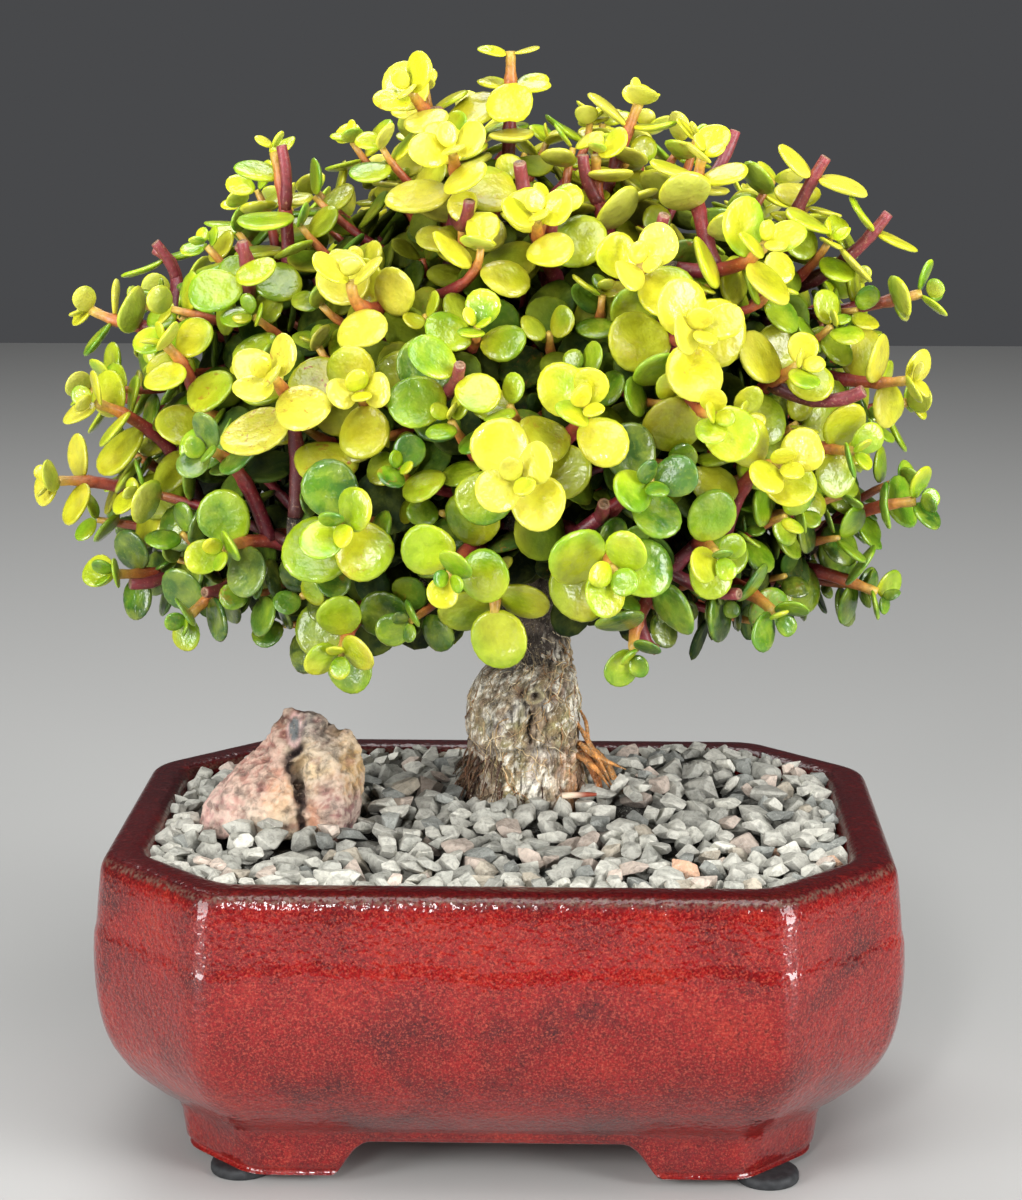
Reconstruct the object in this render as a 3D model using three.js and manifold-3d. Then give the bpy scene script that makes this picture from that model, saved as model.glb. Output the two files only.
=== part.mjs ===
// Dwarf jade bonsai: a small-leaved succulent tree in a footed, glazed pot with a gravel top and a rock.
// Units are millimetres and +Z is up. Lengths are laid out about the pot's centre line, with the table at
// z = 0, and the finished group is then shifted so that the origin is the middle of its bounding box's base.
import * as THREE from "three";
import { ConvexGeometry } from "three/addons/geometries/ConvexGeometry.js";
import { mergeVertices } from "three/addons/utils/BufferGeometryUtils.js";
import Module from "manifold-3d";

const wasm = await Module();
wasm.setup();

// ---------------------------------------------------------------- driving dimensions

const CLEARANCE = 0.3; // gap between pieces that only touch

const PAD = { radius: 7.5, thickness: 2.5, sides: 12 };
const PADS = {
  pad_front_left: [-61, -41],
  pad_front_right: [64, -43],
  pad_back_left: [-61, 40],
  pad_back_right: [61, 40],
};

const POT = {
  rimLength: 186,
  rimWidth: 136,
  rimZ: 77.5,
  chamfer: 27.5,
  floorZ: 17.5,
  undersideZ: 11.3,
  drainRadius: 7.5,
  drainX: 38,
  rounding: { rim: 8, body: 10, cavity: 12, foot: 8 }, // radii of the plan's corners
  rimBand: 3, // wall rings inset less than this belong to the rim
};
const ARCH = { topHalf: 31, bottomHalf: 38, sideTopHalf: 13, sideBottomHalf: 20 }; // gaps between the feet
const SCREEN = { side: 24, thickness: 1.2, holes: 2, hole: 5.5, pitch: 8, room: 0.4 };

const SOIL = { top: 69.5, gap: 0.45 };
const ROOT_GAP = 0.45; // between the trunk and the bed that it stands in
const GRAVEL = { pitch: 13, top: 75.6, valley: 2.6, rows: 13, columns: 17, gap: 0.5 };
const MOUNDS = [
  { x: 8, y: 26, spanX: 60, spanY: 34, height: 3.2 }, // round the trunk
  { x: 48, y: 40, spanX: 26, spanY: 18, height: 2.6 }, // at the back right
];
// A stone's flat top: its share of the cell, and how far its corners, height, turn and slope vary.
const STONE = { share: 0.66, uneven: 0.14, height: 1, turn: 0.3, slope: 0.3 };
const VALLEY = { drift: 1.5, height: 0.6 };

const ROCK = { centre: [-54, -3], seat: 73.4, room: 1.06 };

// Leaf pairs, listed from the tip of a shoot inwards.
const PAIRS = [
  { distance: 1, length: 9, opening: 50 }, // opening: degrees between blade and stem
  { distance: 6.5, length: 12, opening: 72 },
  { distance: 14, length: 13.5, opening: 86 },
  { distance: 23, length: 13, opening: 92 },
];
const LEAF = {
  width: 0.94, // width, thickness, cup and crown as shares of a leaf's length
  thickness: 0.17,
  cup: 0.05,
  crown: 0.54,
  lengthVaries: 0.1,
  turnVaries: 12,
  openingVaries: 9,
  roll: 0.25,
  lift: 0.25, // how far its face turns to the light above
  gap: 0.35,
};
const STEM = { radius: 1.8, tipRadius: 1.3, collar: 4, reach: 16, bend: 0.45, forkAt: 0.35, crowding: 6, step: 24 };
const CUT_STUB = 5; // bare wood above the first leaves of a pruned shoot
const CROWN_CORE = new THREE.Vector3(3, 12, 158);

// The leader: x, y, z and radius from the root crown up to its thin top.
const LEADER = [
  [5, 20, 46, 9],
  [5, 20, 77, 15.2],
  [5.3, 20, 84, 14.4],
  [5, 20, 92, 14.2],
  [5.2, 20, 101, 14.6],
  [6.5, 19.5, 107, 12],
  [8.8, 19, 112, 8.2],
  [8.6, 18.5, 121, 7.5],
  [8, 17, 134, 7.2],
  [5.5, 14.5, 150, 6],
  [2.5, 11, 168, 5],
  [0, 8.5, 188, 4],
  [-1, 6, 206, 3],
  [0, 3, 222, 2.2],
];

// Main limbs: start on the leader, end, rise of the middle and radius at the start.
const LIMBS = [
  { from: [8.5, 18, 124], to: [-72, 4, 146], rise: 4, radius: 4.2 },
  { from: [7, 16, 134], to: [-46, -42, 152], rise: 6, radius: 3.8 },
  { from: [6, 15, 146], to: [4, -48, 164], rise: 8, radius: 3.4 },
  { from: [8, 17, 131], to: [50, -40, 148], rise: 5, radius: 3.8 },
  { from: [8.5, 18, 122], to: [74, 6, 142], rise: 4, radius: 4.2 },
  { from: [8, 18, 137], to: [52, 56, 160], rise: 6, radius: 3.6 },
  { from: [6.5, 16, 141], to: [-52, 54, 162], rise: 6, radius: 3.6 },
  { from: [4.5, 13, 156], to: [2, 68, 182], rise: 6, radius: 3.2 },
  { from: [2.8, 11, 166], to: [-62, 2, 200], rise: 8, radius: 3.2 },
  { from: [2, 10.5, 172], to: [64, 4, 204], rise: 8, radius: 3.2 },
  { from: [0.5, 9, 184], to: [-24, -36, 212], rise: 6, radius: 2.8 },
  { from: [0, 8, 190], to: [34, -30, 214], rise: 6, radius: 2.8 },
  { from: [0, 8.5, 186], to: [-4, 44, 222], rise: 6, radius: 2.8 },
];
const LIMB_END_RADIUS = 2.3;
const LIMB_STEPS = 3;
const COLLAR_SHARE = 0.6; // a collar's root radius, as a share of its limb's radius
const SIDES = { leader: 11, limb: 5, collar: 4, drain: 12 };
const BARK = { baseRings: 7, baseDepth: 0.055, upperDepth: 0.03, ribs: 5, twist: 0.4 };

// Two roots that show above the gravel on the right, and the scar of a cut branch on the front.
const SURFACE_ROOTS = [
  { points: [[14, 19, 90], [21, 15, 86], [25.5, 11, 79], [27, 9, 74]], radii: [2.2, 1.8, 1.3, 0.9] },
  { points: [[15, 22, 86], [24, 21, 84], [30, 19, 78.5], [32, 18, 74]], radii: [2, 1.6, 1.2, 0.9] },
];
const BRANCH_SCAR = { points: [[8, 10, 99], [8.2, 4.6, 99.6]], radii: [4, 2.8] };

// Leafy shoots: tip position; heading and climb of the tip in degrees (heading 0 is +X and -90 the front); turn of
// the leaves about the stem in degrees; leaf size; tint from 0 (green) to 1 (yellow); number of leaf pairs;
// and, where they apply, cut: a pruned end, fork: it branches off the row above it, and reach: how far behind
// the tip its limb is looked for.
const SHOOTS = [
  // crown top and upper front
  { tip: [2, 0, 257], heading: -90, climb: 84, turn: 0, size: 1, tint: 0.85, pairs: 3 },
  { tip: [32, 5, 249], heading: 0, climb: 68, turn: 0, size: 1.05, tint: 0.75, pairs: 3 },
  { tip: [-21, -10, 252], heading: -115, climb: 30, turn: 45, size: 1.2, tint: 0.9, pairs: 3 },
  { tip: [-10, -36, 240], heading: -95, climb: 30, turn: 20, size: 1.2, tint: 0.9, pairs: 3 },
  { tip: [-53, -5, 238], heading: 150, climb: 74, turn: 0, size: 1.1, tint: 0.7, pairs: 4 },
  { tip: [-58, -28, 219], heading: -120, climb: 75, turn: 45, size: 1.05, tint: 0.65, pairs: 4, cut: true },
  { tip: [-32, -45, 212], heading: -95, climb: 82, turn: 0, size: 1.2, tint: 1, pairs: 4 },
  { tip: [9, -45, 226], heading: -88, climb: 36, turn: 15, size: 1.2, tint: 0.8, pairs: 3 },
  { tip: [32, -50, 216], heading: -80, climb: 32, turn: 50, size: 1.2, tint: 0.85, pairs: 3 },
  { tip: [22, -18, 238], heading: -80, climb: 70, turn: 0, size: 1.1, tint: 0.8, pairs: 3, fork: true },
  { tip: [59, -45, 220], heading: -65, climb: 36, turn: 10, size: 1.2, tint: 0.8, pairs: 3 },
  { tip: [46, -22, 238], heading: -60, climb: 62, turn: 30, size: 1.1, tint: 0.7, pairs: 3, fork: true },
  { tip: [75, -8, 237], heading: -15, climb: 58, turn: 20, size: 1.15, tint: 0.75, pairs: 4, cut: true },
  { tip: [90, -5, 224], heading: 0, climb: 55, turn: 20, size: 1.1, tint: 0.7, pairs: 4, cut: true },
  // left side
  { tip: [-99, 5, 200], heading: 165, climb: 25, turn: 30, size: 1, tint: 0.8, pairs: 4 },
  { tip: [-84, 10, 214], heading: 172, climb: 22, turn: 70, size: 1.2, tint: 0.35, pairs: 3, cut: true, fork: true },
  { tip: [-94, -20, 181], heading: -150, climb: 20, turn: 60, size: 1.2, tint: 0.8, pairs: 3 },
  { tip: [-76, -30, 196], heading: -150, climb: 42, turn: 10, size: 1.1, tint: 0.7, pairs: 3, fork: true },
  { tip: [-107, -5, 160], heading: -160, climb: 0, turn: 35, size: 1.15, tint: 0.85, pairs: 3 },
  { tip: [-92, -13, 139], heading: -145, climb: 8, turn: 10, size: 1.1, tint: 0.35, pairs: 3 },
  // front, left to right
  { tip: [-48, -62, 193], heading: -105, climb: 22, turn: 55, size: 1.3, tint: 1, pairs: 3 },
  { tip: [-29, -60, 189], heading: -92, climb: 24, turn: 10, size: 1.15, tint: 0.9, pairs: 3 },
  { tip: [-7, -66, 196], heading: -80, climb: 45, turn: 30, size: 1.1, tint: 0.5, pairs: 3, cut: true, fork: true },
  { tip: [-61, -48, 152], heading: -115, climb: -8, turn: 30, size: 1.2, tint: 0.45, pairs: 3 },
  { tip: [-64, -46, 174], heading: -122, climb: 14, turn: 70, size: 1.15, tint: 0.2, pairs: 3, fork: true },
  { tip: [-33, -70, 162], heading: -98, climb: 0, turn: 35, size: 1.4, tint: 0.45, pairs: 3 },
  { tip: [-71, -36, 134], heading: -130, climb: -32, turn: 60, size: 1.1, tint: 0.35, pairs: 3 },
  { tip: [-34, -59, 131], heading: -94, climb: -14, turn: 15, size: 1.15, tint: 0.6, pairs: 3 },
  { tip: [6, -80, 174], heading: -92, climb: 8, turn: 30, size: 1.3, tint: 0.95, pairs: 3 },
  { tip: [-9, -71, 151], heading: -96, climb: -12, turn: 65, size: 1.1, tint: 0.45, pairs: 3 },
  { tip: [-3, -54, 132], heading: -95, climb: -55, turn: 0, size: 1.1, tint: 0.8, pairs: 3, fork: true },
  { tip: [20, -72, 188], heading: -88, climb: 20, turn: 40, size: 1.2, tint: 0.8, pairs: 3 },
  { tip: [26, -74, 153], heading: -86, climb: -10, turn: 70, size: 1.35, tint: 0.6, pairs: 3 },
  { tip: [34, -66, 171], heading: -84, climb: 12, turn: 20, size: 1.3, tint: 0.2, pairs: 3, fork: true },
  { tip: [44, -63, 203], heading: -76, climb: 26, turn: 10, size: 1.3, tint: 0.9, pairs: 3 },
  { tip: [47, -69, 186], heading: -74, climb: 8, turn: 60, size: 1.15, tint: 0.75, pairs: 3, fork: true },
  { tip: [62, -60, 174], heading: -64, climb: 6, turn: 30, size: 1.25, tint: 0.85, pairs: 3 },
  { tip: [49, -61, 154], heading: -72, climb: -12, turn: 10, size: 1.15, tint: 0.5, pairs: 3 },
  { tip: [31, -55, 131], heading: -84, climb: -45, turn: 40, size: 1.15, tint: 0.45, pairs: 3, fork: true },
  { tip: [63, -43, 137], heading: -55, climb: -25, turn: 50, size: 1.2, tint: 0.35, pairs: 3, reach: 8 },
  // right side
  { tip: [80, -36, 173], heading: -40, climb: 2, turn: 20, size: 1.15, tint: 0.7, pairs: 3 },
  { tip: [67, -42, 193], heading: -52, climb: 26, turn: 60, size: 1.15, tint: 0.8, pairs: 3, fork: true },
  { tip: [99, 0, 205], heading: 0, climb: 14, turn: 70, size: 1.15, tint: 0.6, pairs: 3 },
  { tip: [94, -20, 187], heading: -22, climb: 10, turn: 30, size: 1.15, tint: 0.8, pairs: 3 },
  { tip: [98, -10, 157], heading: -10, climb: 6, turn: 85, size: 1.2, tint: 0.35, pairs: 3 },
  { tip: [90, -6, 134], heading: -10, climb: -22, turn: 30, size: 1.1, tint: 0.5, pairs: 3 },
  // back, left to right
  { tip: [-86, 40, 200], heading: 150, climb: 20, turn: 20, size: 1.15, tint: 0.6, pairs: 3 },
  { tip: [-88, 42, 158], heading: 152, climb: -4, turn: 60, size: 1.2, tint: 0.4, pairs: 3 },
  { tip: [-103, 22, 178], heading: 170, climb: 6, turn: 10, size: 1.15, tint: 0.6, pairs: 3, fork: true },
  { tip: [-62, 68, 182], heading: 125, climb: 15, turn: 10, size: 1.2, tint: 0.6, pairs: 3 },
  { tip: [-60, 64, 142], heading: 125, climb: -28, turn: 60, size: 1.15, tint: 0.3, pairs: 3, fork: true },
  { tip: [-56, 46, 222], heading: 130, climb: 50, turn: 40, size: 1.15, tint: 0.75, pairs: 3 },
  { tip: [-28, 84, 168], heading: 105, climb: 0, turn: 35, size: 1.25, tint: 0.45, pairs: 3 },
  { tip: [-22, 74, 136], heading: 105, climb: -35, turn: 0, size: 1.15, tint: 0.3, pairs: 3, fork: true },
  { tip: [-28, 78, 204], heading: 105, climb: 30, turn: 70, size: 1.2, tint: 0.75, pairs: 3 },
  { tip: [-30, 58, 228], heading: 112, climb: 50, turn: 30, size: 1.15, tint: 0.8, pairs: 3, fork: true },
  { tip: [-9, 49, 243], heading: 100, climb: 58, turn: 55, size: 1.1, tint: 0.85, pairs: 3, reach: 9 },
  { tip: [8, 90, 186], heading: 88, climb: 15, turn: 15, size: 1.25, tint: 0.65, pairs: 3, reach: 9 },
  { tip: [40, 80, 198], heading: 68, climb: 20, turn: 60, size: 1.15, tint: 0.7, pairs: 3, fork: true },
  { tip: [14, 86, 148], heading: 85, climb: -15, turn: 50, size: 1.2, tint: 0.35, pairs: 3 },
  { tip: [22, 68, 222], heading: 75, climb: 42, turn: 20, size: 1.2, tint: 0.8, pairs: 3 },
  { tip: [50, 78, 160], heading: 60, climb: -5, turn: 75, size: 1.2, tint: 0.4, pairs: 3 },
  { tip: [46, 64, 134], heading: 60, climb: -35, turn: 30, size: 1.15, tint: 0.3, pairs: 3, fork: true },
  { tip: [60, 46, 224], heading: 45, climb: 45, turn: 65, size: 1.15, tint: 0.75, pairs: 3 },
  { tip: [34, 36, 241], heading: 55, climb: 62, turn: 20, size: 1.1, tint: 0.8, pairs: 3, fork: true },
  { tip: [74, 58, 182], heading: 40, climb: 12, turn: 15, size: 1.2, tint: 0.6, pairs: 3 },
  { tip: [86, 36, 204], heading: 25, climb: 26, turn: 50, size: 1.15, tint: 0.65, pairs: 3, fork: true },
  { tip: [82, 46, 148], heading: 30, climb: -12, turn: 45, size: 1.2, tint: 0.4, pairs: 3 },
  { tip: [99, 22, 176], heading: 14, climb: 4, turn: 0, size: 1.15, tint: 0.6, pairs: 3, fork: true },
];

// ---------------------------------------------------------------- small tools

const vec = (p) => new THREE.Vector3(p[0], p[1], p[2]);
const radians = THREE.MathUtils.degToRad;
const UP = new THREE.Vector3(0, 0, 1);

// A repeatable draw from 0 to 1 for three whole numbers.
function draw(a, b, c = 0) {
  const s = Math.sin(a * 12.9898 + b * 78.233 + c * 37.719) * 43758.5453;
  return s - Math.floor(s);
}
const spread = (a, b, c, half) => (draw(a, b, c) * 2 - 1) * half;

// A closed geometry as a manifold solid.
function solid(geometry) {
  const bare = geometry.index ? geometry.toNonIndexed() : geometry.clone();
  bare.deleteAttribute("normal");
  bare.deleteAttribute("uv");
  const merged = mergeVertices(bare, 1e-4);
  return new wasm.Manifold(
    new wasm.Mesh({
      numProp: 3,
      vertProperties: merged.attributes.position.array,
      triVerts: new Uint32Array(merged.index.array),
    }),
  );
}

const joined = (solids) => wasm.Manifold.union(solids);
const placed = (geometry, x, y, z) => solid(geometry.translate(x, y, z));

// Convex rings of equal point count, skinned one to the next and closed at each end.
function loft(rings) {
  const count = rings[0].length;
  const last = (rings.length - 1) * count;
  const faces = [];
  for (let r = 0; r + 1 < rings.length; r++)
    for (let i = 0; i < count; i++) {
      const a = r * count + i;
      const b = r * count + ((i + 1) % count);
      faces.push(a, b, b + count, a, b + count, a + count);
    }
  for (let i = 1; i + 1 < count; i++) {
    faces.push(0, i + 1, i);
    faces.push(last, last + i, last + i + 1);
  }
  return facesGeometry(rings.flat(), faces);
}

function facesGeometry(points, faces) {
  const geometry = new THREE.BufferGeometry().setFromPoints(points);
  geometry.setIndex(faces);
  return geometry;
}

// A tube of given radii along points. Its first corner lies towards side, and ridge(angle, index) scales it.
function tube(points, radii, sides, side = new THREE.Vector3(1, 0.2, 0), ridge = () => 1) {
  const rings = points.map((p, i) => {
    const ahead = points[Math.min(i + 1, points.length - 1)];
    const behind = points[Math.max(i - 1, 0)];
    const along = ahead.clone().sub(behind).normalize();
    side = side.clone().addScaledVector(along, -side.dot(along)).normalize();
    const other = along.clone().cross(side);
    return Array.from({ length: sides }, (_, k) => {
      const angle = (2 * Math.PI * k) / sides;
      const r = radii[i] * ridge(angle, i);
      return p
        .clone()
        .addScaledVector(side, r * Math.cos(angle))
        .addScaledVector(other, r * Math.sin(angle));
    });
  });
  return solid(loft(rings));
}

function bezier(a, b, c, t) {
  return a
    .clone()
    .multiplyScalar((1 - t) ** 2)
    .addScaledVector(b, 2 * t * (1 - t))
    .addScaledVector(c, t * t);
}

const material = (color, roughness, metalness = 0) =>
  new THREE.MeshStandardMaterial({ color, roughness, metalness });

const FINISH = {
  glaze: material(0x8f1a1c, 0.25),
  rubber: material(0x17191b, 0.8),
  screen: material(0x22262a, 0.7),
  soil: material(0x3b2f26, 1),
  gravel: material(0x8b918a, 0.95),
  rock: material(0xb98574, 0.9),
  bark: material(0x6b5d50, 0.95),
};
const LEAF_YELLOW = new THREE.Color(0xe3d63a);
const LEAF_GREEN = new THREE.Color(0x4f7d2a);

const parts = new THREE.Group();

function addPart(name, shape, finish) {
  const mesh = shape.getMesh();
  const geometry = new THREE.BufferGeometry();
  geometry.setAttribute("position", new THREE.BufferAttribute(mesh.vertProperties, 3));
  geometry.setIndex(new THREE.BufferAttribute(mesh.triVerts, 1));
  geometry.computeVertexNormals();
  const part = new THREE.Mesh(geometry, finish);
  part.name = name;
  parts.add(part);
}

// ---------------------------------------------------------------- pot, feet and pads

// The pot's plan, a rectangle with cut and rounded corners, inset from the rim and at one height.
function potPlan(inset, z, cornerRadius) {
  const x = POT.rimLength / 2 - inset;
  const y = POT.rimWidth / 2 - inset;
  const cut = POT.chamfer - inset * (2 - Math.SQRT2);
  const corners = [
    [x - cut, -y],
    [x, -y + cut],
    [x, y - cut],
    [x - cut, y],
    [cut - x, y],
    [-x, y - cut],
    [-x, cut - y],
    [cut - x, -y],
  ].map(([px, py]) => new THREE.Vector3(px, py, z));
  const tangent = cornerRadius * Math.tan(Math.PI / 8);
  return corners.flatMap((corner, i) => {
    const back = corners[(i + 7) % 8].clone().sub(corner).normalize();
    const on = corners[(i + 1) % 8].clone().sub(corner).normalize();
    const inward = back.clone().add(on).normalize();
    return [
      corner.clone().addScaledVector(back, tangent),
      corner.clone().addScaledVector(inward, cornerRadius * (1 / Math.cos(Math.PI / 8) - 1)),
      corner.clone().addScaledVector(on, tangent),
    ];
  });
}

// Height and inset pairs; the cavity's list is shared with what fills it.
const POT_WALL = [
  [POT.undersideZ, 16.4],
  [14.8, 15.2],
  [18, 10.8],
  [25, 4],
  [35, -0.8],
  [50, -2.5],
  [66, -1.6],
  [75.6, 0.2],
  [POT.rimZ, 2.8],
  [POT.rimZ, 7.6],
  [76.3, 10],
];
const POT_CAVITY = [
  [72, 11],
  [50, 11.8],
  [28, 14.5],
  [POT.floorZ, 25],
];
const POT_FEET = [
  [PAD.thickness, 18.6],
  [4, 17.2],
  [9, 16.6],
  [15, 17],
];

const archShape = (topHalf, bottomHalf) =>
  new THREE.Shape([
    new THREE.Vector2(-bottomHalf - 2, -2),
    new THREE.Vector2(bottomHalf + 2, -2),
    new THREE.Vector2(bottomHalf, PAD.thickness),
    new THREE.Vector2(topHalf + 2.5, POT.undersideZ - 2.5),
    new THREE.Vector2(topHalf - 1, POT.undersideZ),
    new THREE.Vector2(1 - topHalf, POT.undersideZ),
    new THREE.Vector2(-topHalf - 2.5, POT.undersideZ - 2.5),
    new THREE.Vector2(-bottomHalf, PAD.thickness),
  ]);

function archCutter(topHalf, bottomHalf, alongX) {
  const depth = POT.rimLength * 1.4; // right through the pot either way
  const geometry = new THREE.ExtrudeGeometry(archShape(topHalf, bottomHalf), { depth, bevelEnabled: false });
  geometry.translate(0, 0, -depth / 2).rotateX(Math.PI / 2);
  if (alongX) geometry.rotateZ(Math.PI / 2);
  return solid(geometry);
}

function makePot() {
  const { rim, body, cavity, foot } = POT.rounding;
  const outside = POT_WALL.map(([z, inset]) => potPlan(inset, z, inset > POT.rimBand ? body : rim));
  const inside = POT_CAVITY.map(([z, inset]) => potPlan(inset, z, cavity));
  const bowl = solid(loft([...outside, ...inside]));
  const feet = solid(loft(POT_FEET.map(([z, inset]) => potPlan(inset, z, foot))))
    .subtract(archCutter(ARCH.topHalf, ARCH.bottomHalf, false))
    .subtract(archCutter(ARCH.sideTopHalf, ARCH.sideBottomHalf, true));
  const drains = [-POT.drainX, POT.drainX].map((x) => {
    const drill = new THREE.CylinderGeometry(POT.drainRadius, POT.drainRadius, 2 * POT.floorZ, SIDES.drain);
    return placed(drill.rotateX(Math.PI / 2), x, 0, POT.floorZ);
  });
  addPart("pot", bowl.add(feet).subtract(joined(drains)), FINISH.glaze);
}

function makePads() {
  for (const [name, [x, y]] of Object.entries(PADS)) {
    const disc = new THREE.CylinderGeometry(PAD.radius, PAD.radius, PAD.thickness, PAD.sides);
    addPart(name, placed(disc.rotateX(Math.PI / 2), x, y, PAD.thickness / 2), FINISH.rubber);
  }
}

function makeScreens() {
  for (const [name, x] of [["drain_screen_left", -POT.drainX], ["drain_screen_right", POT.drainX]]) {
    const middle = POT.floorZ + SCREEN.thickness / 2;
    const sheet = placed(new THREE.BoxGeometry(SCREEN.side, SCREEN.side, SCREEN.thickness), x, 0, middle);
    const holes = [];
    for (let i = 0; i < SCREEN.holes; i++)
      for (let j = 0; j < SCREEN.holes; j++) {
        const offset = (k) => (k - (SCREEN.holes - 1) / 2) * SCREEN.pitch;
        const hole = new THREE.BoxGeometry(SCREEN.hole, SCREEN.hole, 4 * SCREEN.thickness);
        holes.push(placed(hole, x + offset(i), offset(j), middle));
      }
    addPart(name, sheet.subtract(joined(holes)), FINISH.screen);
  }
}

// ---------------------------------------------------------------- rock

// Three angular lumps, each the hull of its corner points, about the rock's seat.
const ROCK_LUMPS = {
  ramp: [
    [-21, -5, 0], [-14, -12, 0], [3, -13, 0], [6, -2, 0], [4, 10, 0], [-12, 11, 0], [-20, 5, 0],
    [-20, -3, 8], [-14.5, -9, 12.5], [-4, -12, 10], [-15, 3, 14.5], [-7, -3, 21], [-2, -9, 19],
    [-6, 8, 18], [4, 5, 22], [-3.5, 0, 26],
  ],
  knob: [
    [-5, -5, 18], [-3.5, -2, 27], [1, 1, 30.5], [8, -1, 29], [9, 6, 28], [0, 8, 26],
    [10, -6, 22], [1, -9, 18], [12, 3, 21], [-4, 6, 19], [5, 0, 11],
  ],
  block: [
    [4, -12, 0], [15, -13, 0], [18, -4, 0], [17, 8, 0], [6, 9, 0], [5, -13, 9], [16, -12, 11],
    [19.5, -3, 12], [19.5, 6, 14], [13, -9, 19], [19, -1, 21], [15, 2, 25], [9, -7, 22],
    [8, 6, 24], [15, 9, 19],
  ],
};

// The rock, or with a swell above 1 the room for it in the gravel.
function makeRock(swell) {
  const [x, y] = ROCK.centre;
  const lumps = Object.values(ROCK_LUMPS).map((corners) => {
    const hull = solid(new ConvexGeometry(corners.map(vec)));
    const middle = corners.map(vec).reduce((sum, p) => sum.add(p)).divideScalar(corners.length);
    return hull
      .translate([-middle.x, -middle.y, 0])
      .scale([swell, swell, swell])
      .translate([middle.x, middle.y, 0]);
  });
  return joined(lumps).translate([x, y, ROCK.seat]);
}

// ---------------------------------------------------------------- trunk and limbs

// Bark ribs, strongest on the thick base.
function barkRidge(angle, index) {
  const depth = index < BARK.baseRings ? BARK.baseDepth : BARK.upperDepth;
  const rib = Math.sin(BARK.ribs * angle + BARK.twist * index);
  return 1 + depth * rib + spread(9, index, Math.round(angle * 10), depth);
}

function limbPoint(limb, t) {
  const from = vec(limb.from);
  const to = vec(limb.to);
  return bezier(from, from.clone().lerp(to, 0.5).addScaledVector(UP, -limb.rise), to, t);
}

const limbSteps = Array.from({ length: LIMB_STEPS + 1 }, (_, i) => i / LIMB_STEPS);
const limbRadius = (limb, t) => limb.radius + (LIMB_END_RADIUS - limb.radius) * t;

// Every place on the limbs and the upper leader where a shoot can spring from, kept between the limbs' rings.
const ANCHORS = [
  ...LIMBS.flatMap((limb) =>
    [0.45, 0.6, 0.86, 1].map((t) => ({ at: limbPoint(limb, t), radius: limbRadius(limb, t), used: 0 })),
  ),
  ...[-3, -2, -1].map((k) => {
    const [x, y, z, radius] = LEADER.at(k);
    return { at: new THREE.Vector3(x, y, z - 3), radius, used: 0 };
  }),
];

const direction = (heading, climb) =>
  new THREE.Vector3(
    Math.cos(radians(climb)) * Math.cos(radians(heading)),
    Math.cos(radians(climb)) * Math.sin(radians(heading)),
    Math.sin(radians(climb)),
  );

// ---------------------------------------------------------------- shoots

// A shoot's line runs from its limb's collar, or from its parent's stem where it forks, and bends into its heading.
function growShoot(row, index, grown) {
  const tip = vec(row.tip);
  const pointing = direction(row.heading, row.climb);
  if (row.fork) {
    const parent = grown[index - 1];
    const start = stemPoint(parent, STEM.forkAt);
    const bend = tip.clone().addScaledVector(pointing, -STEM.bend * tip.distanceTo(start));
    return { ...row, index, tip, pointing, start, bend, leaving: bend.clone().sub(start).normalize() };
  }
  const inwards = CROWN_CORE.clone().sub(tip).normalize();
  const reach = row.reach ?? STEM.reach;
  const wanted = tip
    .clone()
    .addScaledVector(pointing, -reach)
    .addScaledVector(inwards, reach);
  const effort = (candidate) => candidate.at.distanceTo(wanted) + candidate.used * STEM.crowding;
  let anchor = ANCHORS[0];
  for (const candidate of ANCHORS) if (effort(candidate) < effort(anchor)) anchor = candidate;
  anchor.used += 1;
  const bend = tip.clone().addScaledVector(pointing, -STEM.bend * tip.distanceTo(anchor.at));
  const leaving = bend.clone().sub(anchor.at).normalize();
  const collarEnd = anchor.at.clone().addScaledVector(leaving, anchor.radius + STEM.collar);
  const start = collarEnd.clone().addScaledVector(leaving, CLEARANCE);
  return { ...row, index, tip, pointing, start, bend, leaving, anchor, collarEnd };
}

const stemPoint = (shoot, t) => bezier(shoot.start, shoot.bend, shoot.tip, t);

const shoots = [];
for (const row of SHOOTS) {
  const shoot = growShoot(row, shoots.length, shoots);
  shoots.push({ ...shoot, places: stemPlaces(shoot) });
}
const springing = shoots.filter((shoot) => !shoot.fork);

// The places along a stem, from its start to its tip, that get a ring of corners. A leaf pair sits between two.
function stemPlaces(shoot) {
  const span = shoot.start.distanceTo(shoot.tip) * 1.05;
  const places = [{ t: 0 }];
  const joint = (0.6 * shoot.size) / span;
  const nodes = [];
  for (let pair = shoot.pairs - 1; pair >= (shoot.cut ? 1 : 0); pair--) {
    const distance = PAIRS[pair].distance * shoot.size + (shoot.cut ? CUT_STUB : 0);
    nodes.push({ pair, t: Math.max(0.1, 1 - distance / span) });
  }
  const bare = nodes[0].t - joint;
  const steps = Math.max(1, Math.round((bare * span) / STEM.step));
  for (let i = 1; i < steps; i++) places.push({ t: (bare * i) / steps });
  for (const { pair, t } of nodes) places.push({ t: t - joint, pair }, { t: t + joint });
  places.push({ t: 1 });
  // Axes across the stem are carried down from the tip, so that pairs stay crossed along a bent stem.
  let level = UP.clone().cross(shoot.pointing);
  if (level.length() < 0.25) level.set(1, 0, 0);
  for (const place of places.reverse()) {
    place.at = stemPoint(shoot, place.t);
    place.along = stemPoint(shoot, place.t + 0.01).sub(stemPoint(shoot, place.t - 0.01)).normalize();
    if (place.t === 0) place.along = shoot.leaving; // so that its flat end faces the collar's
    level = level.clone().addScaledVector(place.along, -level.dot(place.along)).normalize();
    place.level = level;
    place.upright = place.along.clone().cross(level);
  }
  return places.reverse();
}

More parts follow.
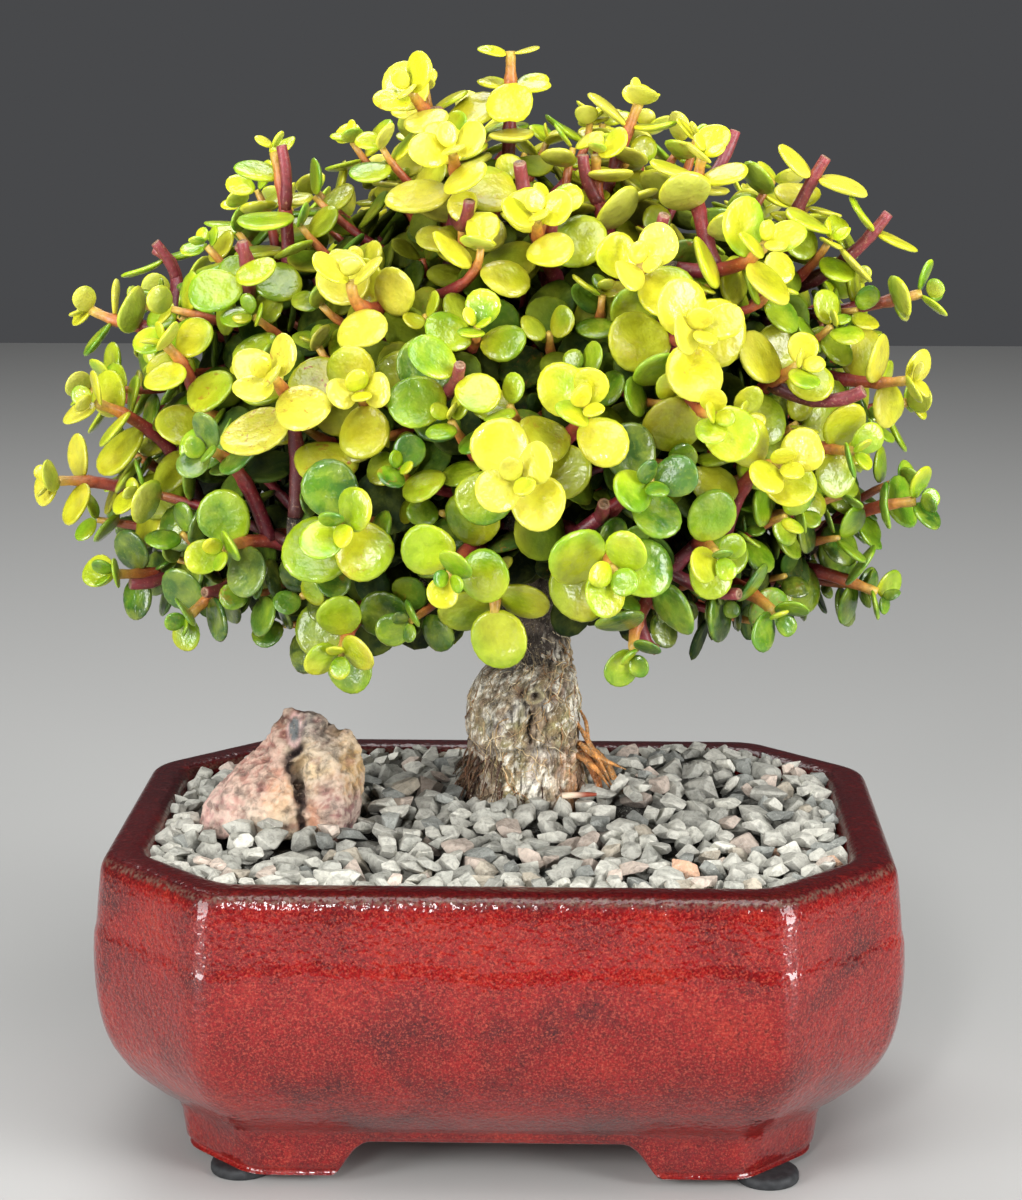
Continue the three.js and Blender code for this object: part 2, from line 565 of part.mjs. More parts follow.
const across = (place, degrees) =>
  place.level
    .clone()
    .multiplyScalar(Math.cos(radians(degrees)))
    .addScaledVector(place.upright, Math.sin(radians(degrees)));

// A square stem with its leaves, in one skin: a leaf takes the place of one side between its pair's two rings.
function shootSolid(shoot, leaves) {
  const points = [];
  const faces = [];
  const leafed = new Map(leaves.map((leaf) => [leaf.pair + "," + leaf.side, leaf]));
  for (const place of shoot.places) {
    const r = STEM.radius + (STEM.tipRadius - STEM.radius) * place.t;
    for (let k = 0; k < 4; k++)
      points.push(place.at.clone().addScaledVector(across(place, shoot.turn - 45 + 90 * k), r));
  }
  shoot.places.slice(0, -1).forEach((place, i) => {
    for (let k = 0; k < 4; k++) {
      const a = i * 4 + k;
      const b = i * 4 + ((k + 1) % 4);
      const side = ((k - place.pair + 8) % 4) / 2;
      const leaf = leafed.get(place.pair + "," + side);
      if (leaf) faces.push(...bladeFaces(points, leaf, a, b, b + 4, a + 4));
      else faces.push(a, b, b + 4, a, b + 4, a + 4);
    }
  });
  const end = points.length - leaves.length * BLADE_POINTS - 4;
  faces.push(0, 2, 1, 0, 3, 2, end, end + 1, end + 2, end, end + 2, end + 3);
  return solid(facesGeometry(points, faces));
}

function makeTrunk(grow) {
  const wider = (radii) => radii.map((r) => r + grow);
  const seam = new THREE.Vector3(1, 0.2, 0);
  const pieces = [tube(LEADER.map(vec), wider(LEADER.map((row) => row[3])), SIDES.leader, seam, barkRidge)];
  for (const limb of LIMBS) {
    const points = limbSteps.map((t) => limbPoint(limb, t));
    pieces.push(tube(points, wider(limbSteps.map((t) => limbRadius(limb, t))), SIDES.limb));
  }
  for (const { anchor, collarEnd } of springing)
    pieces.push(
      tube([anchor.at, collarEnd], wider([anchor.radius * COLLAR_SHARE, STEM.radius]), SIDES.collar),
    );
  for (const { points, radii } of [...SURFACE_ROOTS, BRANCH_SCAR])
    pieces.push(tube(points.map(vec), wider(radii), SIDES.limb));
  return joined(pieces);
}

// ---------------------------------------------------------------- soil and gravel

function makeSoil(rootRoom) {
  const { cavity } = POT.rounding;
  const rings = POT_CAVITY.slice(1)
    .reverse()
    .map(([z, inset]) => potPlan(inset + SOIL.gap, z + (z === POT.floorZ ? CLEARANCE : 0), cavity));
  rings.push(potPlan(POT_CAVITY[0][1] + SOIL.gap, SOIL.top, cavity));
  const roomSide = SCREEN.side + 2 * SCREEN.room;
  const roomHeight = 2 * (SCREEN.thickness + SCREEN.room);
  const screenRoom = [-POT.drainX, POT.drainX].map((x) =>
    placed(new THREE.BoxGeometry(roomSide, roomSide, roomHeight), x, 0, POT.floorZ),
  );
  addPart("soil", solid(loft(rings)).subtract(joined(screenRoom)).subtract(rootRoom), FINISH.soil);
}

// The gravel's mean height: low at the rim, mounded round the trunk and at the back right.
function gravelHeight(x, y) {
  const rise = (mound) =>
    mound.height * Math.exp(-(((x - mound.x) / mound.spanX) ** 2) - ((y - mound.y) / mound.spanY) ** 2);
  return MOUNDS.reduce((sum, mound) => sum + rise(mound), GRAVEL.top);
}

// A bed of stones as relief: on each cell of a hexagon grid stands a tilted, four-cornered stone top, and the
// cells' shared corners are the valleys between stones.
const STONE_SIDES = [[0, 1, -1], [1, -2, -1], [1, 2, -2], [2, 3, -2], [3, -3, -2], [3, 4, -3], [4, -4, -3],
  [4, 5, -4], [5, 0, -4], [0, -1, -4]];

function gravelRelief() {
  const { pitch, rows, columns } = GRAVEL;
  const reach = pitch / Math.sqrt(3);
  const points = [];
  const faces = [];
  const known = new Map();
  const valley = (x, y) => {
    const [a, b] = [Math.round(x * 4), Math.round(y * 4)];
    const key = a + "," + b;
    if (!known.has(key)) {
      known.set(key, points.length);
      const z = gravelHeight(x, y) - GRAVEL.valley + spread(a, b, 23, VALLEY.height);
      const [dx, dy] = [spread(a, b, 21, VALLEY.drift), spread(a, b, 22, VALLEY.drift)];
      points.push(new THREE.Vector3(x + dx, y + dy, z));
    }
    return known.get(key);
  };
  for (let r = 0; r < rows; r++)
    for (let c = 0; c < columns; c++) {
      const x = (c - (columns - 1) / 2 + (r % 2 ? 0.5 : 0)) * pitch;
      const y = ((r - (rows - 1) / 2) * pitch * Math.sqrt(3)) / 2;
      const id = r * columns + c;
      const ring = Array.from({ length: 6 }, (_, k) => {
        const angle = Math.PI / 6 + (k * Math.PI) / 3;
        return valley(x + reach * Math.cos(angle), y + reach * Math.sin(angle));
      });
      const height = gravelHeight(x, y) + spread(33, id, 0, STONE.height);
      const top = Array.from({ length: 4 }, (_, k) => {
        const angle = Math.PI / 4 + (k * Math.PI) / 2 + spread(34, id, k, STONE.turn);
        const dx = reach * (STONE.share + spread(35, id, k, STONE.uneven)) * Math.cos(angle);
        const dy = reach * (STONE.share + spread(36, id, k, STONE.uneven)) * Math.sin(angle);
        const tilt = dx * spread(31, id, 0, STONE.slope) + dy * spread(32, id, 0, STONE.slope);
        points.push(new THREE.Vector3(x + dx, y + dy, height + tilt));
        return points.length - 1;
      });
      const corner = (k) => (k < 0 ? top[-k - 1] : ring[k]);
      for (const side of STONE_SIDES) faces.push(...side.map(corner));
      faces.push(top[0], top[1], top[2], top[0], top[2], top[3]);
    }
  return closedBelow(points, faces, POT.floorZ);
}

// Closes a sheet of faces with a skirt and a floor at the height given.
function closedBelow(points, faces, z) {
  const edges = new Set();
  for (let i = 0; i < faces.length; i += 3)
    for (let k = 0; k < 3; k++) edges.add(faces[i + k] + "," + faces[i + ((k + 1) % 3)]);
  const low = new Map();
  const below = (id) => {
    if (!low.has(id)) {
      low.set(id, points.length);
      points.push(new THREE.Vector3(points[id].x, points[id].y, z));
    }
    return low.get(id);
  };
  const hub = points.length;
  points.push(new THREE.Vector3(0, 0, z));
  for (const edge of edges) {
    const [p, q] = edge.split(",").map(Number);
    if (!edges.has(q + "," + p)) faces.push(q, p, below(p), q, below(p), below(q), below(q), below(p), hub);
  }
  return solid(facesGeometry(points, faces));
}

function makeGravel(rootRoom) {
  const rockRoom = makeRock(ROCK.room).translate([0, 0, -CLEARANCE]);
  const inset = POT_CAVITY[0][1] + GRAVEL.gap;
  const { cavity } = POT.rounding;
  const bed = loft([potPlan(inset, SOIL.top + CLEARANCE, cavity), potPlan(inset, 2 * SOIL.top, cavity)]);
  addPart("gravel", gravelRelief().intersect(solid(bed)).subtract(rootRoom).subtract(rockRoom), FINISH.gravel);
}

// ---------------------------------------------------------------- leaves

// Half of a blade's outline from its root to its end, as shares of its length and width.
const BLADE_HALF = [
  [0.4, 0.48],
  [0.84, 0.4],
  [1, 0],
];
const BLADE_RIM = [...BLADE_HALF.map(([x, y]) => [x, -y]), ...BLADE_HALF.slice(0, -1).reverse()];
const BLADE_POINTS = BLADE_RIM.length + 2;

// A blade's rim and its two crowns, with its root at the origin, its end along +X and its upper face towards +Z.
function bladePoints(frame, length, extra = 0) {
  const width = length * LEAF.width + 2 * extra;
  const half = (length * LEAF.thickness) / 2 + extra;
  const reach = length + extra;
  const cup = (x, y) => LEAF.cup * length * (x * x + 2 * y * y);
  const rim = BLADE_RIM.map(([x, y]) => [x * reach, y * width, cup(x, y)]);
  const crowns = [half, -half].map((z) => [LEAF.crown * reach, 0, z]);
  return [...rim, ...crowns].map((p) => vec(p).applyMatrix4(frame));
}

// A blade closed at its root, for testing its room.
function bladeSolid(frame, length, extra) {
  const points = [...bladePoints(frame, length, extra), new THREE.Vector3().setFromMatrixPosition(frame)];
  const [upper, lower, root] = [BLADE_POINTS - 2, BLADE_POINTS - 1, BLADE_POINTS];
  const ring = [root, ...BLADE_RIM.keys()];
  const faces = ring.flatMap((p, i) => {
    const q = ring[(i + 1) % ring.length];
    return [upper, p, q, lower, q, p];
  });
  return solid(facesGeometry(points, faces));
}

// A blade that grows out of the stem's side a, b, c, d.
function bladeFaces(points, leaf, a, b, c, d) {
  const first = points.length;
  points.push(...bladePoints(leaf.frame, leaf.length));
  const rim = [...BLADE_RIM.keys()].map((i) => first + i);
  const [upper, lower] = [first + BLADE_POINTS - 2, first + BLADE_POINTS - 1];
  const faces = [a, rim[0], d, b, c, rim.at(-1)];
  const above = [d, ...rim, c];
  const below = [a, ...rim, b];
  for (let i = 0; i < above.length; i++) {
    const next = (i + 1) % above.length;
    faces.push(upper, above[i], above[next], lower, below[next], below[i]);
  }
  return faces;
}

// The frame of a leaf: its root on the stem, its blade along X and its upper face along Z.
function leafFrame(shoot, pair, side, twist) {
  const low = shoot.places.findIndex((place) => place.pair === pair);
  const place = shoot.places[low];
  const at = place.at.clone().lerp(shoot.places[low + 1].at, 0.5);
  const seed = shoot.index * 20 + pair * 2 + side;
  const varied = spread(seed, 1, 0, LEAF.turnVaries);
  const outwards = across(place, shoot.turn + 90 * pair + 180 * side + varied + twist);
  const opening = radians(PAIRS[pair].opening + spread(seed, 2, 0, LEAF.openingVaries));
  const blade = place.along
    .clone()
    .multiplyScalar(Math.cos(opening))
    .addScaledVector(outwards, Math.sin(opening));
  const face = place.along
    .clone()
    .multiplyScalar(Math.sin(opening))
    .addScaledVector(outwards, -Math.cos(opening));
  const edgewise = blade.clone().cross(face);
  face.addScaledVector(UP, LEAF.lift).addScaledVector(edgewise, spread(seed, 3, 0, LEAF.roll));
  face.addScaledVector(blade, -face.dot(blade)).normalize();
  return new THREE.Matrix4().makeBasis(blade, face.clone().cross(blade), face).setPosition(at);
}

function leafLength(shoot, pair, side) {
  const varied = 1 + spread(shoot.index * 20 + pair * 2 + side, 4, 0, LEAF.lengthVaries);
  return PAIRS[pair].length * shoot.size * varied;
}

// Leaves go on pair by pair from the tips inwards. One that would meet anything but its own stem and its partner
// is turned or made smaller, and left off if nothing clears it.
const TRIES = [
  [0, 1],
  [16, 1],
  [-16, 1],
  [0, 0.85],
  [32, 0.9],
  [-32, 0.9],
  [0, 0.7],
  [45, 0.75],
];

function growLeaves(stems, trunk) {
  const leaves = [];
  const crosses = (a, b) => a.intersect(b).volume() > 1e-4;
  const clears = (leaf) =>
    !crosses(leaf.room, trunk) &&
    !stems.some((stem, j) => j !== leaf.shoot && crosses(leaf.room, stem)) &&
    !leaves.some((other) => {
      if (other.shoot === leaf.shoot && other.pair === leaf.pair) return false;
      if (other.middle.distanceTo(leaf.middle) > (other.length + leaf.length) * 0.62) return false;
      return crosses(other.shoot === leaf.shoot ? leaf.solid : leaf.room, other.solid);
    });
  const grow = (shoot, pair, side) => {
    for (const [twist, shrink] of TRIES) {
      const frame = leafFrame(shoot, pair, side, twist);
      const length = leafLength(shoot, pair, side) * shrink;
      const leaf = {
        shoot: shoot.index,
        pair,
        side,
        frame,
        length,
        middle: new THREE.Vector3(length / 2, 0, 0).applyMatrix4(frame),
        solid: bladeSolid(frame, length, 0),
        room: bladeSolid(frame, length, LEAF.gap),
      };
      if (!clears(leaf)) continue;
      leaves.push(leaf);
      return;
    }
  };
  for (let pair = 0; pair < PAIRS.length; pair++)
    for (const shoot of shoots) {
      if (pair >= shoot.pairs || (shoot.cut && pair === 0)) continue;
      grow(shoot, pair, 0);
      grow(shoot, pair, 1);
    }
  return leaves;
}

// ---------------------------------------------------------------- assembly

makePot();
makePads();
makeScreens();
const trunk = makeTrunk(0);
const rootRoom = makeTrunk(ROOT_GAP);
makeSoil(rootRoom);
makeGravel(rootRoom);
addPart("rock", makeRock(1), FINISH.rock);
addPart("trunk", trunk, FINISH.bark);

const stems = shoots.map((shoot) => shootSolid(shoot, []));
const leaves = growLeaves(stems, trunk);
springing.forEach((shoot, i) => {
  const next = springing[i + 1] ?? { index: shoots.length };
  const members = shoots.slice(shoot.index, next.index);
  const pieces = members.map((one) => shootSolid(one, leaves.filter((leaf) => leaf.shoot === one.index)));
  const color = LEAF_GREEN.clone().lerp(LEAF_YELLOW, shoot.tint);
  addPart("shoot_" + String(i + 1).padStart(2, "0"), joined(pieces), material(color, 0.35));
});

const box = new THREE.Box3().setFromObject(parts);
const middle = box.getCenter(new THREE.Vector3());
parts.position.set(-middle.x, -middle.y, -box.min.z);

export default parts;
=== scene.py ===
"""Looks of a dwarf jade bonsai: a domed crown of round succulent leaves over a footed, red-glazed pot.

Lengths are in millimetres about the pot's centre line, with the table at z = 0, where no comment says
otherwise. They are turned into metres in the frame's axes when a piece is made.
"""

import math
from types import SimpleNamespace

import bmesh
import bpy
import numpy as np
from mathutils import Matrix, Vector, noise


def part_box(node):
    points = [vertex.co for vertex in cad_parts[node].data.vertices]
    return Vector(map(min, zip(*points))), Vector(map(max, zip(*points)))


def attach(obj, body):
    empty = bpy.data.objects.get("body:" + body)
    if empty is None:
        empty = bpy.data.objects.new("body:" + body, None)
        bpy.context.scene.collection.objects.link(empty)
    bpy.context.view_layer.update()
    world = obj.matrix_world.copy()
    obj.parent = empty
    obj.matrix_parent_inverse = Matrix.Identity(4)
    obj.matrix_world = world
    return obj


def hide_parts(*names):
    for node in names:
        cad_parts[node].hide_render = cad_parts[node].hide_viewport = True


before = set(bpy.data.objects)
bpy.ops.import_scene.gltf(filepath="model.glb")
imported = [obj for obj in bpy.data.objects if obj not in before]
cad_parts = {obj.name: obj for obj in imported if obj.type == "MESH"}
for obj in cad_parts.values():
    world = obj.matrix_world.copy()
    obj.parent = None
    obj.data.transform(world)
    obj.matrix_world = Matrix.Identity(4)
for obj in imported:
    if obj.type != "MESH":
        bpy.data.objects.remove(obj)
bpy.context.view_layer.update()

MM = 0.001
GOLDEN_TURN = math.pi * (1 + math.sqrt(5))  # from one direction to the next, to spread many evenly
POT_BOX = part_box("pot")
POT_CENTRE = np.array([(POT_BOX[0][i] + POT_BOX[1][i]) / 2 / MM for i in (0, 1)] + [0.0])

# ---------------------------------------------------------------- camera, floor and light

# Pitch and yaw in degrees; the focal length and the picture's height in pixels of the photograph.
CAMERA = SimpleNamespace(place=(20.3, -641.0, 269.5), pitch=12.24, yaw=-1.63, focal_px=2702, height_px=1200,
                         clip_start=0.01)
LIT_POINT = (0, 0, 0.12)  # metres
SOFTBOXES = {  # place, then width and height, in metres, then power in watts
    "softbox_left": ((-0.85, -0.72, 0.38), (0.4, 0.7), 13.5),
    "softbox_right": ((0.9, -0.6, 0.36), (0.36, 0.7), 15),
    "softbox_front": ((-0.22, -1.15, 0.68), (0.1, 0.28), 6.6),
    "softbox_top": ((0.15, -0.42, 1.15), (0.9, 0.6), 12),
    "softbox_back": ((-0.3, 0.75, 1.25), (0.8, 0.5), 8),
}
SKY = SimpleNamespace(color=(0.93, 0.95, 1.0, 1), strength=0.07)
FLOOR_HALF = 1.6  # metres


def to_frame(points):
    """Pot-centred millimetres to the frame's metres."""
    return (np.asarray(points, dtype=float) + POT_CENTRE) * MM


def add_object(name, data):
    made = bpy.data.objects.new(name, data)
    bpy.context.collection.objects.link(made)
    return made


def add_camera():
    pitch, yaw = math.radians(CAMERA.pitch), math.radians(CAMERA.yaw)
    ahead = Vector((math.sin(yaw) * math.cos(pitch), math.cos(yaw) * math.cos(pitch), -math.sin(pitch)))
    right = Vector((math.cos(yaw), -math.sin(yaw), 0))
    data = bpy.data.cameras.new("camera")
    data.sensor_fit = "VERTICAL"
    data.lens = data.sensor_height * CAMERA.focal_px / CAMERA.height_px
    data.clip_start = CAMERA.clip_start
    camera = add_object("camera", data)
    turn = Matrix((right, right.cross(ahead), -ahead)).transposed()
    camera.matrix_world = Matrix.Translation(to_frame(CAMERA.place)) @ turn.to_4x4()
    bpy.context.scene.camera = camera


def add_studio():
    """Soft lamps that all point at the object, a faint sky, and plain colour handling."""
    for name, (place, size, power) in SOFTBOXES.items():
        data = bpy.data.lights.new(name, "AREA")
        data.shape = "RECTANGLE"
        data.size, data.size_y = size
        data.energy = power
        lamp = add_object(name, data)
        lamp.location = place
        lamp.rotation_euler = (Vector(LIT_POINT) - Vector(place)).to_track_quat("-Z", "Y").to_euler()
    world = bpy.data.worlds.new("studio")
    world.use_nodes = True
    sky = world.node_tree.nodes["Background"]
    sky.inputs["Color"].default_value = SKY.color
    sky.inputs["Strength"].default_value = SKY.strength
    bpy.context.scene.world = world
    view = bpy.context.scene.view_settings
    view.view_transform = "Standard"
    view.look = "None"


# ---------------------------------------------------------------- driving dimensions, as in the part's source

PAD = SimpleNamespace(radius=7.5, thickness=2.5)
PADS = {
    "pad_front_left": (-61, -41),
    "pad_front_right": (64, -43),
    "pad_back_left": (-61, 40),
    "pad_back_right": (61, 40),
}
POT = SimpleNamespace(
    rim_length=186, rim_width=136, chamfer=27.5, floor_z=17.5, drain_radius=7.5, drain_x=38, rounding_rim=12,
    rounding_body=11, rounding_inner=10,
)
POT_WALL = [  # height, inset
    (2.5, 18.6), (4, 17.2), (9, 16.6), (12, 16.2), (14.8, 15.0), (18, 10.8), (25, 4), (35, -0.8), (50, -2.5),
    (66, -1.6), (73, -0.5), (75.6, 0.4), (76.9, 1.5), (77.5, 3.4), (77.5, 6.8), (77.1, 8.6), (75.6, 10.2),
    (72, 11),
]
SCREEN = SimpleNamespace(side=24, wires=9, wire=0.9, upper=0.35, bar_height=0.8)
GRAVEL_TOP = 75.6
MOUNDS = [  # x, y, their half widths, and the rise
    (8, 26, 60, 34, 3.2), (48, 40, 26, 18, 2.6),
]
ROCK = SimpleNamespace(centre=(-54, -3), seat=73.4)

PAIRS = [  # distance behind the tip, length, angle between blade and stem
    (1, 9, 50), (6.5, 12, 72), (14, 13.5, 86), (23, 13, 92),
]
INNER_PAIRS = [(32, 12.5, 94), (41, 12, 96), (50, 11, 98)]
BUD_PAIR = (-0.8, 5.2, 42)
STEM = SimpleNamespace(radius=1.8, tip_radius=1.3, collar=4, reach=16, bend=0.45, fork_at=0.35, crowding=6)
CLEARANCE = 0.3
CUT_STUB = 5
CROWN_CORE = np.array([3.0, 12, 158])
UP = np.array([0.0, 0, 1])

LEADER = [  # the trunk's line: x, y, z, radius
    (5, 20, 46, 9), (5, 20, 77, 15.2), (5.3, 20, 84, 14.4), (5, 20, 92, 14.2), (5.2, 20, 101, 14.6),
    (6.5, 19.5, 107, 12), (8.8, 19, 112, 8.2), (7.6, 18.5, 121, 7.5), (5.2, 17, 134, 7.2),
    (3.5, 14.5, 150, 6), (2.5, 11, 168, 5), (0, 8.5, 188, 4), (-1, 6, 206, 3), (0, 3, 222, 2.2),
]
LIMBS = [  # start on the leader, end, sag of the middle, radius at the start
    ((8.5, 18, 124), (-72, 4, 146), 4, 4.2),
    ((7, 16, 134), (-46, -42, 152), 6, 3.8),
    ((6, 15, 146), (4, -48, 164), 8, 3.4),
    ((8, 17, 131), (50, -40, 148), 5, 3.8),
    ((8.5, 18, 122), (74, 6, 142), 4, 4.2),
    ((8, 18, 137), (52, 56, 160), 6, 3.6),
    ((6.5, 16, 141), (-52, 54, 162), 6, 3.6),
    ((4.5, 13, 156), (2, 68, 182), 6, 3.2),
    ((2.8, 11, 166), (-62, 2, 200), 8, 3.2),
    ((2, 10.5, 172), (64, 4, 204), 8, 3.2),
    ((0.5, 9, 184), (-24, -36, 212), 6, 2.8),
    ((0, 8, 190), (34, -30, 214), 6, 2.8),
    ((0, 8.5, 186), (-4, 44, 222), 6, 2.8),
]
LIMB_END_RADIUS = 2.3

# Leafy shoots: tip, heading and climb in degrees, turn of the leaves, leaf size, tint from green 0 to
# yellow 1, pairs of leaves; then c for a pruned end, f for one that branches off the row above, and its
# reach if it isn't the stems' own.
SHOOTS = [
    # crown top and upper front
    ((2, 0, 261), -90, 84, 0, 1, 0.85, 3),
    ((32, 5, 249), 0, 68, 0, 1.05, 0.75, 3),
    ((-21, -10, 252), -115, 30, 45, 1.2, 0.9, 3),
    ((-10, -36, 240), -95, 30, 20, 1.2, 0.9, 3),
    ((-53, -5, 238), 150, 74, 0, 1.1, 0.7, 4),
    ((-58, -28, 219), -120, 75, 45, 1.05, 0.65, 4, "c"),
    ((-32, -45, 212), -95, 82, 0, 1.2, 1, 4),
    ((9, -45, 226), -88, 36, 15, 1.2, 0.8, 3),
    ((32, -50, 216), -80, 32, 50, 1.2, 0.85, 3),
    ((22, -18, 238), -80, 70, 0, 1.1, 0.8, 3, "f"),
    ((59, -45, 220), -65, 36, 10, 1.2, 0.8, 3),
    ((46, -22, 238), -60, 62, 30, 1.1, 0.7, 3, "f"),
    ((75, -8, 237), -15, 58, 20, 1.15, 0.75, 4, "c"),
    ((90, -5, 224), 0, 55, 20, 1.1, 0.7, 4, "c"),
    # left side
    ((-99, 5, 200), 165, 25, 30, 1, 0.8, 4),
    ((-84, 10, 214), 172, 22, 70, 1.2, 0.35, 3, "cf"),
    ((-94, -20, 181), -150, 20, 60, 1.2, 0.8, 3),
    ((-76, -30, 196), -150, 42, 10, 1.1, 0.7, 3, "f"),
    ((-107, -5, 160), -160, 0, 35, 1.15, 0.85, 3),
    ((-92, -13, 139), -145, 8, 10, 1.1, 0.35, 3),
    # front, left to right
    ((-48, -62, 193), -105, 22, 55, 1.3, 1, 3),
    ((-29, -60, 189), -92, 24, 10, 1.15, 0.9, 3),
    ((-7, -66, 196), -80, 45, 30, 1.1, 0.5, 3, "cf"),
    ((-61, -48, 152), -115, -8, 30, 1.2, 0.45, 3),
    ((-64, -46, 174), -122, 14, 70, 1.15, 0.2, 3, "f"),
    ((-33, -70, 162), -98, 0, 35, 1.4, 0.45, 3),
    ((-71, -36, 134), -130, -32, 60, 1.1, 0.35, 3),
    ((-34, -59, 131), -94, -14, 15, 1.15, 0.6, 3),
    ((6, -80, 174), -92, 8, 30, 1.3, 0.95, 3),
    ((-9, -71, 151), -96, -12, 65, 1.1, 0.45, 3),
    ((0, -56, 139.5), -100, -60, 90, 1.3, 0.7, 3, "f"),
    ((20, -72, 188), -88, 20, 40, 1.2, 0.8, 3),
    ((26, -74, 153), -86, -10, 70, 1.35, 0.6, 3),
    ((34, -66, 171), -84, 12, 20, 1.3, 0.2, 3, "f"),
    ((44, -63, 203), -76, 26, 10, 1.3, 0.9, 3),
    ((47, -69, 186), -74, 8, 60, 1.15, 0.75, 3, "f"),
    ((62, -60, 174), -64, 6, 30, 1.25, 0.85, 3),
    ((49, -61, 154), -72, -12, 10, 1.15, 0.5, 3),
    ((31, -55, 131), -84, -45, 40, 1.15, 0.45, 3, "f"),
    ((63, -43, 137), -55, -25, 50, 1.2, 0.35, 3, "", 8),
    # right side
    ((80, -36, 173), -40, 2, 20, 1.15, 0.7, 3),
    ((67, -42, 193), -52, 26, 60, 1.15, 0.8, 3, "f"),
    ((99, 0, 205), 0, 14, 70, 1.15, 0.6, 3),
    ((94, -20, 187), -22, 10, 30, 1.15, 0.8, 3),
    ((98, -10, 157), -10, 6, 85, 1.2, 0.35, 3),
    ((90, -6, 134), -10, -22, 30, 1.1, 0.5, 3),
    # back, left to right
    ((-86, 40, 200), 150, 20, 20, 1.15, 0.6, 3),
    ((-88, 42, 158), 152, -4, 60, 1.2, 0.4, 3),
    ((-103, 22, 178), 170, 6, 10, 1.15, 0.6, 3, "f"),
    ((-62, 68, 182), 125, 15, 10, 1.2, 0.6, 3),
    ((-60, 64, 142), 125, -28, 60, 1.15, 0.3, 3, "f"),
    ((-56, 46, 222), 130, 50, 40, 1.15, 0.75, 3),
    ((-28, 84, 168), 105, 0, 35, 1.25, 0.45, 3),
    ((-22, 74, 136), 105, -35, 0, 1.15, 0.3, 3, "f"),
    ((-28, 78, 204), 105, 30, 70, 1.2, 0.75, 3),
    ((-30, 58, 228), 112, 50, 30, 1.15, 0.8, 3, "f"),
    ((-9, 49, 243), 100, 58, 55, 1.1, 0.85, 3, "", 9),
    ((8, 90, 186), 88, 15, 15, 1.25, 0.65, 3, "", 9),
    ((40, 80, 198), 68, 20, 60, 1.15, 0.7, 3, "f"),
    ((14, 86, 148), 85, -15, 50, 1.2, 0.35, 3),
    ((22, 68, 222), 75, 42, 20, 1.2, 0.8, 3),
    ((50, 78, 160), 60, -5, 75, 1.2, 0.4, 3),
    ((46, 64, 134), 60, -35, 30, 1.15, 0.3, 3, "f"),
    ((60, 46, 224), 45, 45, 65, 1.15, 0.75, 3),
    ((34, 36, 241), 55, 62, 20, 1.1, 0.8, 3, "f"),
    ((74, 58, 182), 40, 12, 15, 1.2, 0.6, 3),
    ((86, 36, 204), 25, 26, 50, 1.15, 0.65, 3, "f"),
    ((82, 46, 148), 30, -12, 45, 1.2, 0.4, 3),
    ((99, 22, 176), 14, 4, 0, 1.15, 0.6, 3, "f"),
]



# ---------------------------------------------------------------- small tools


def draw(a, b, c=0):
    """A repeatable draw from 0 to 1 for three whole numbers, the same as in the part's source."""
    s = math.sin(a * 12.9898 + b * 78.233 + c * 37.719) * 43758.5453
    return s - math.floor(s)


def spread(a, b, c, half):
    """A repeatable draw from -half to half."""
    return (draw(a, b, c) * 2 - 1) * half


def unit(v):
    return v / np.linalg.norm(v)


def bezier(a, b, c, t):
    return (1 - t) ** 2 * a + 2 * t * (1 - t) * b + t * t * c


def smoothstep(low, high, value):
    t = np.clip((value - low) / (high - low), 0, 1)
    return t * t * (3 - 2 * t)


def bell(off, width):
    """1 where off is 0, falling away smoothly over the width."""
    return math.exp(-((off / width) ** 2))


def lerp(a, b, t):
    return a + (b - a) * t


def off_angle(angle, degrees):
    """The angle, in radians, less one in degrees, from -pi to pi."""
    return math.remainder(angle - math.radians(degrees), 2 * math.pi)


def circle(count):
    return np.arange(count) * 2 * math.pi / count


def srgb(*rgb):
    """0-255 screen values to linear light."""
    c = np.array(rgb, dtype=float) / 255
    return np.where(c <= 0.04045, c / 12.92, ((c + 0.055) / 1.055) ** 2.4)


def color_between(stops, at):
    """Colours at the places given, from a table of (place, colour)."""
    places = np.array([place for place, _ in stops])
    hues = np.array([hue for _, hue in stops])
    return np.column_stack([np.interp(at, places, hues[:, k]) for k in range(3)])


def fractal(point, octaves=4):
    """Layered noise from about -1 to 1 at a point."""
    value, weight, p = 0.0, 0.5, Vector(point)
    for _ in range(octaves):
        value += weight * noise.noise(p)
        p *= 2.1
        weight *= 0.5
    return value * 1.6


def smooth_run(points, steps):
    """A smooth curve through the points, with the steps given between each two of them."""
    p = np.array(points, dtype=float)
    p = np.vstack([2 * p[0] - p[1], p, 2 * p[-1] - p[-2]])
    run = []
    for a, b, c, d in zip(p, p[1:], p[2:], p[3:]):
        for t in np.linspace(0, 1, steps, endpoint=False):
            run.append(0.5 * (2 * b + (c - a) * t + (2 * a - 5 * b + 4 * c - d) * t * t
                              + (3 * b - a - 3 * c + d) * t ** 3))
    return np.array(run + [p[-2]])


def grid_faces(rows, columns):
    """Quads between rows of points, each row a closed ring."""
    faces = []
    for a in range(0, (rows - 1) * columns, columns):
        for c in range(columns):
            n = (c + 1) % columns
            faces.append((a + c, a + n, a + n + columns, a + c + columns))
    return faces


def closed_faces(rows, columns):
    """The same, closed at both ends by a fan about a point; those two points come after the rings."""
    faces = grid_faces(rows, columns)
    first, last = rows * columns, rows * columns + 1
    top = first - columns
    for c in range(columns):
        n = (c + 1) % columns
        faces += [(first, n, c), (last, top + c, top + n)]
    return faces


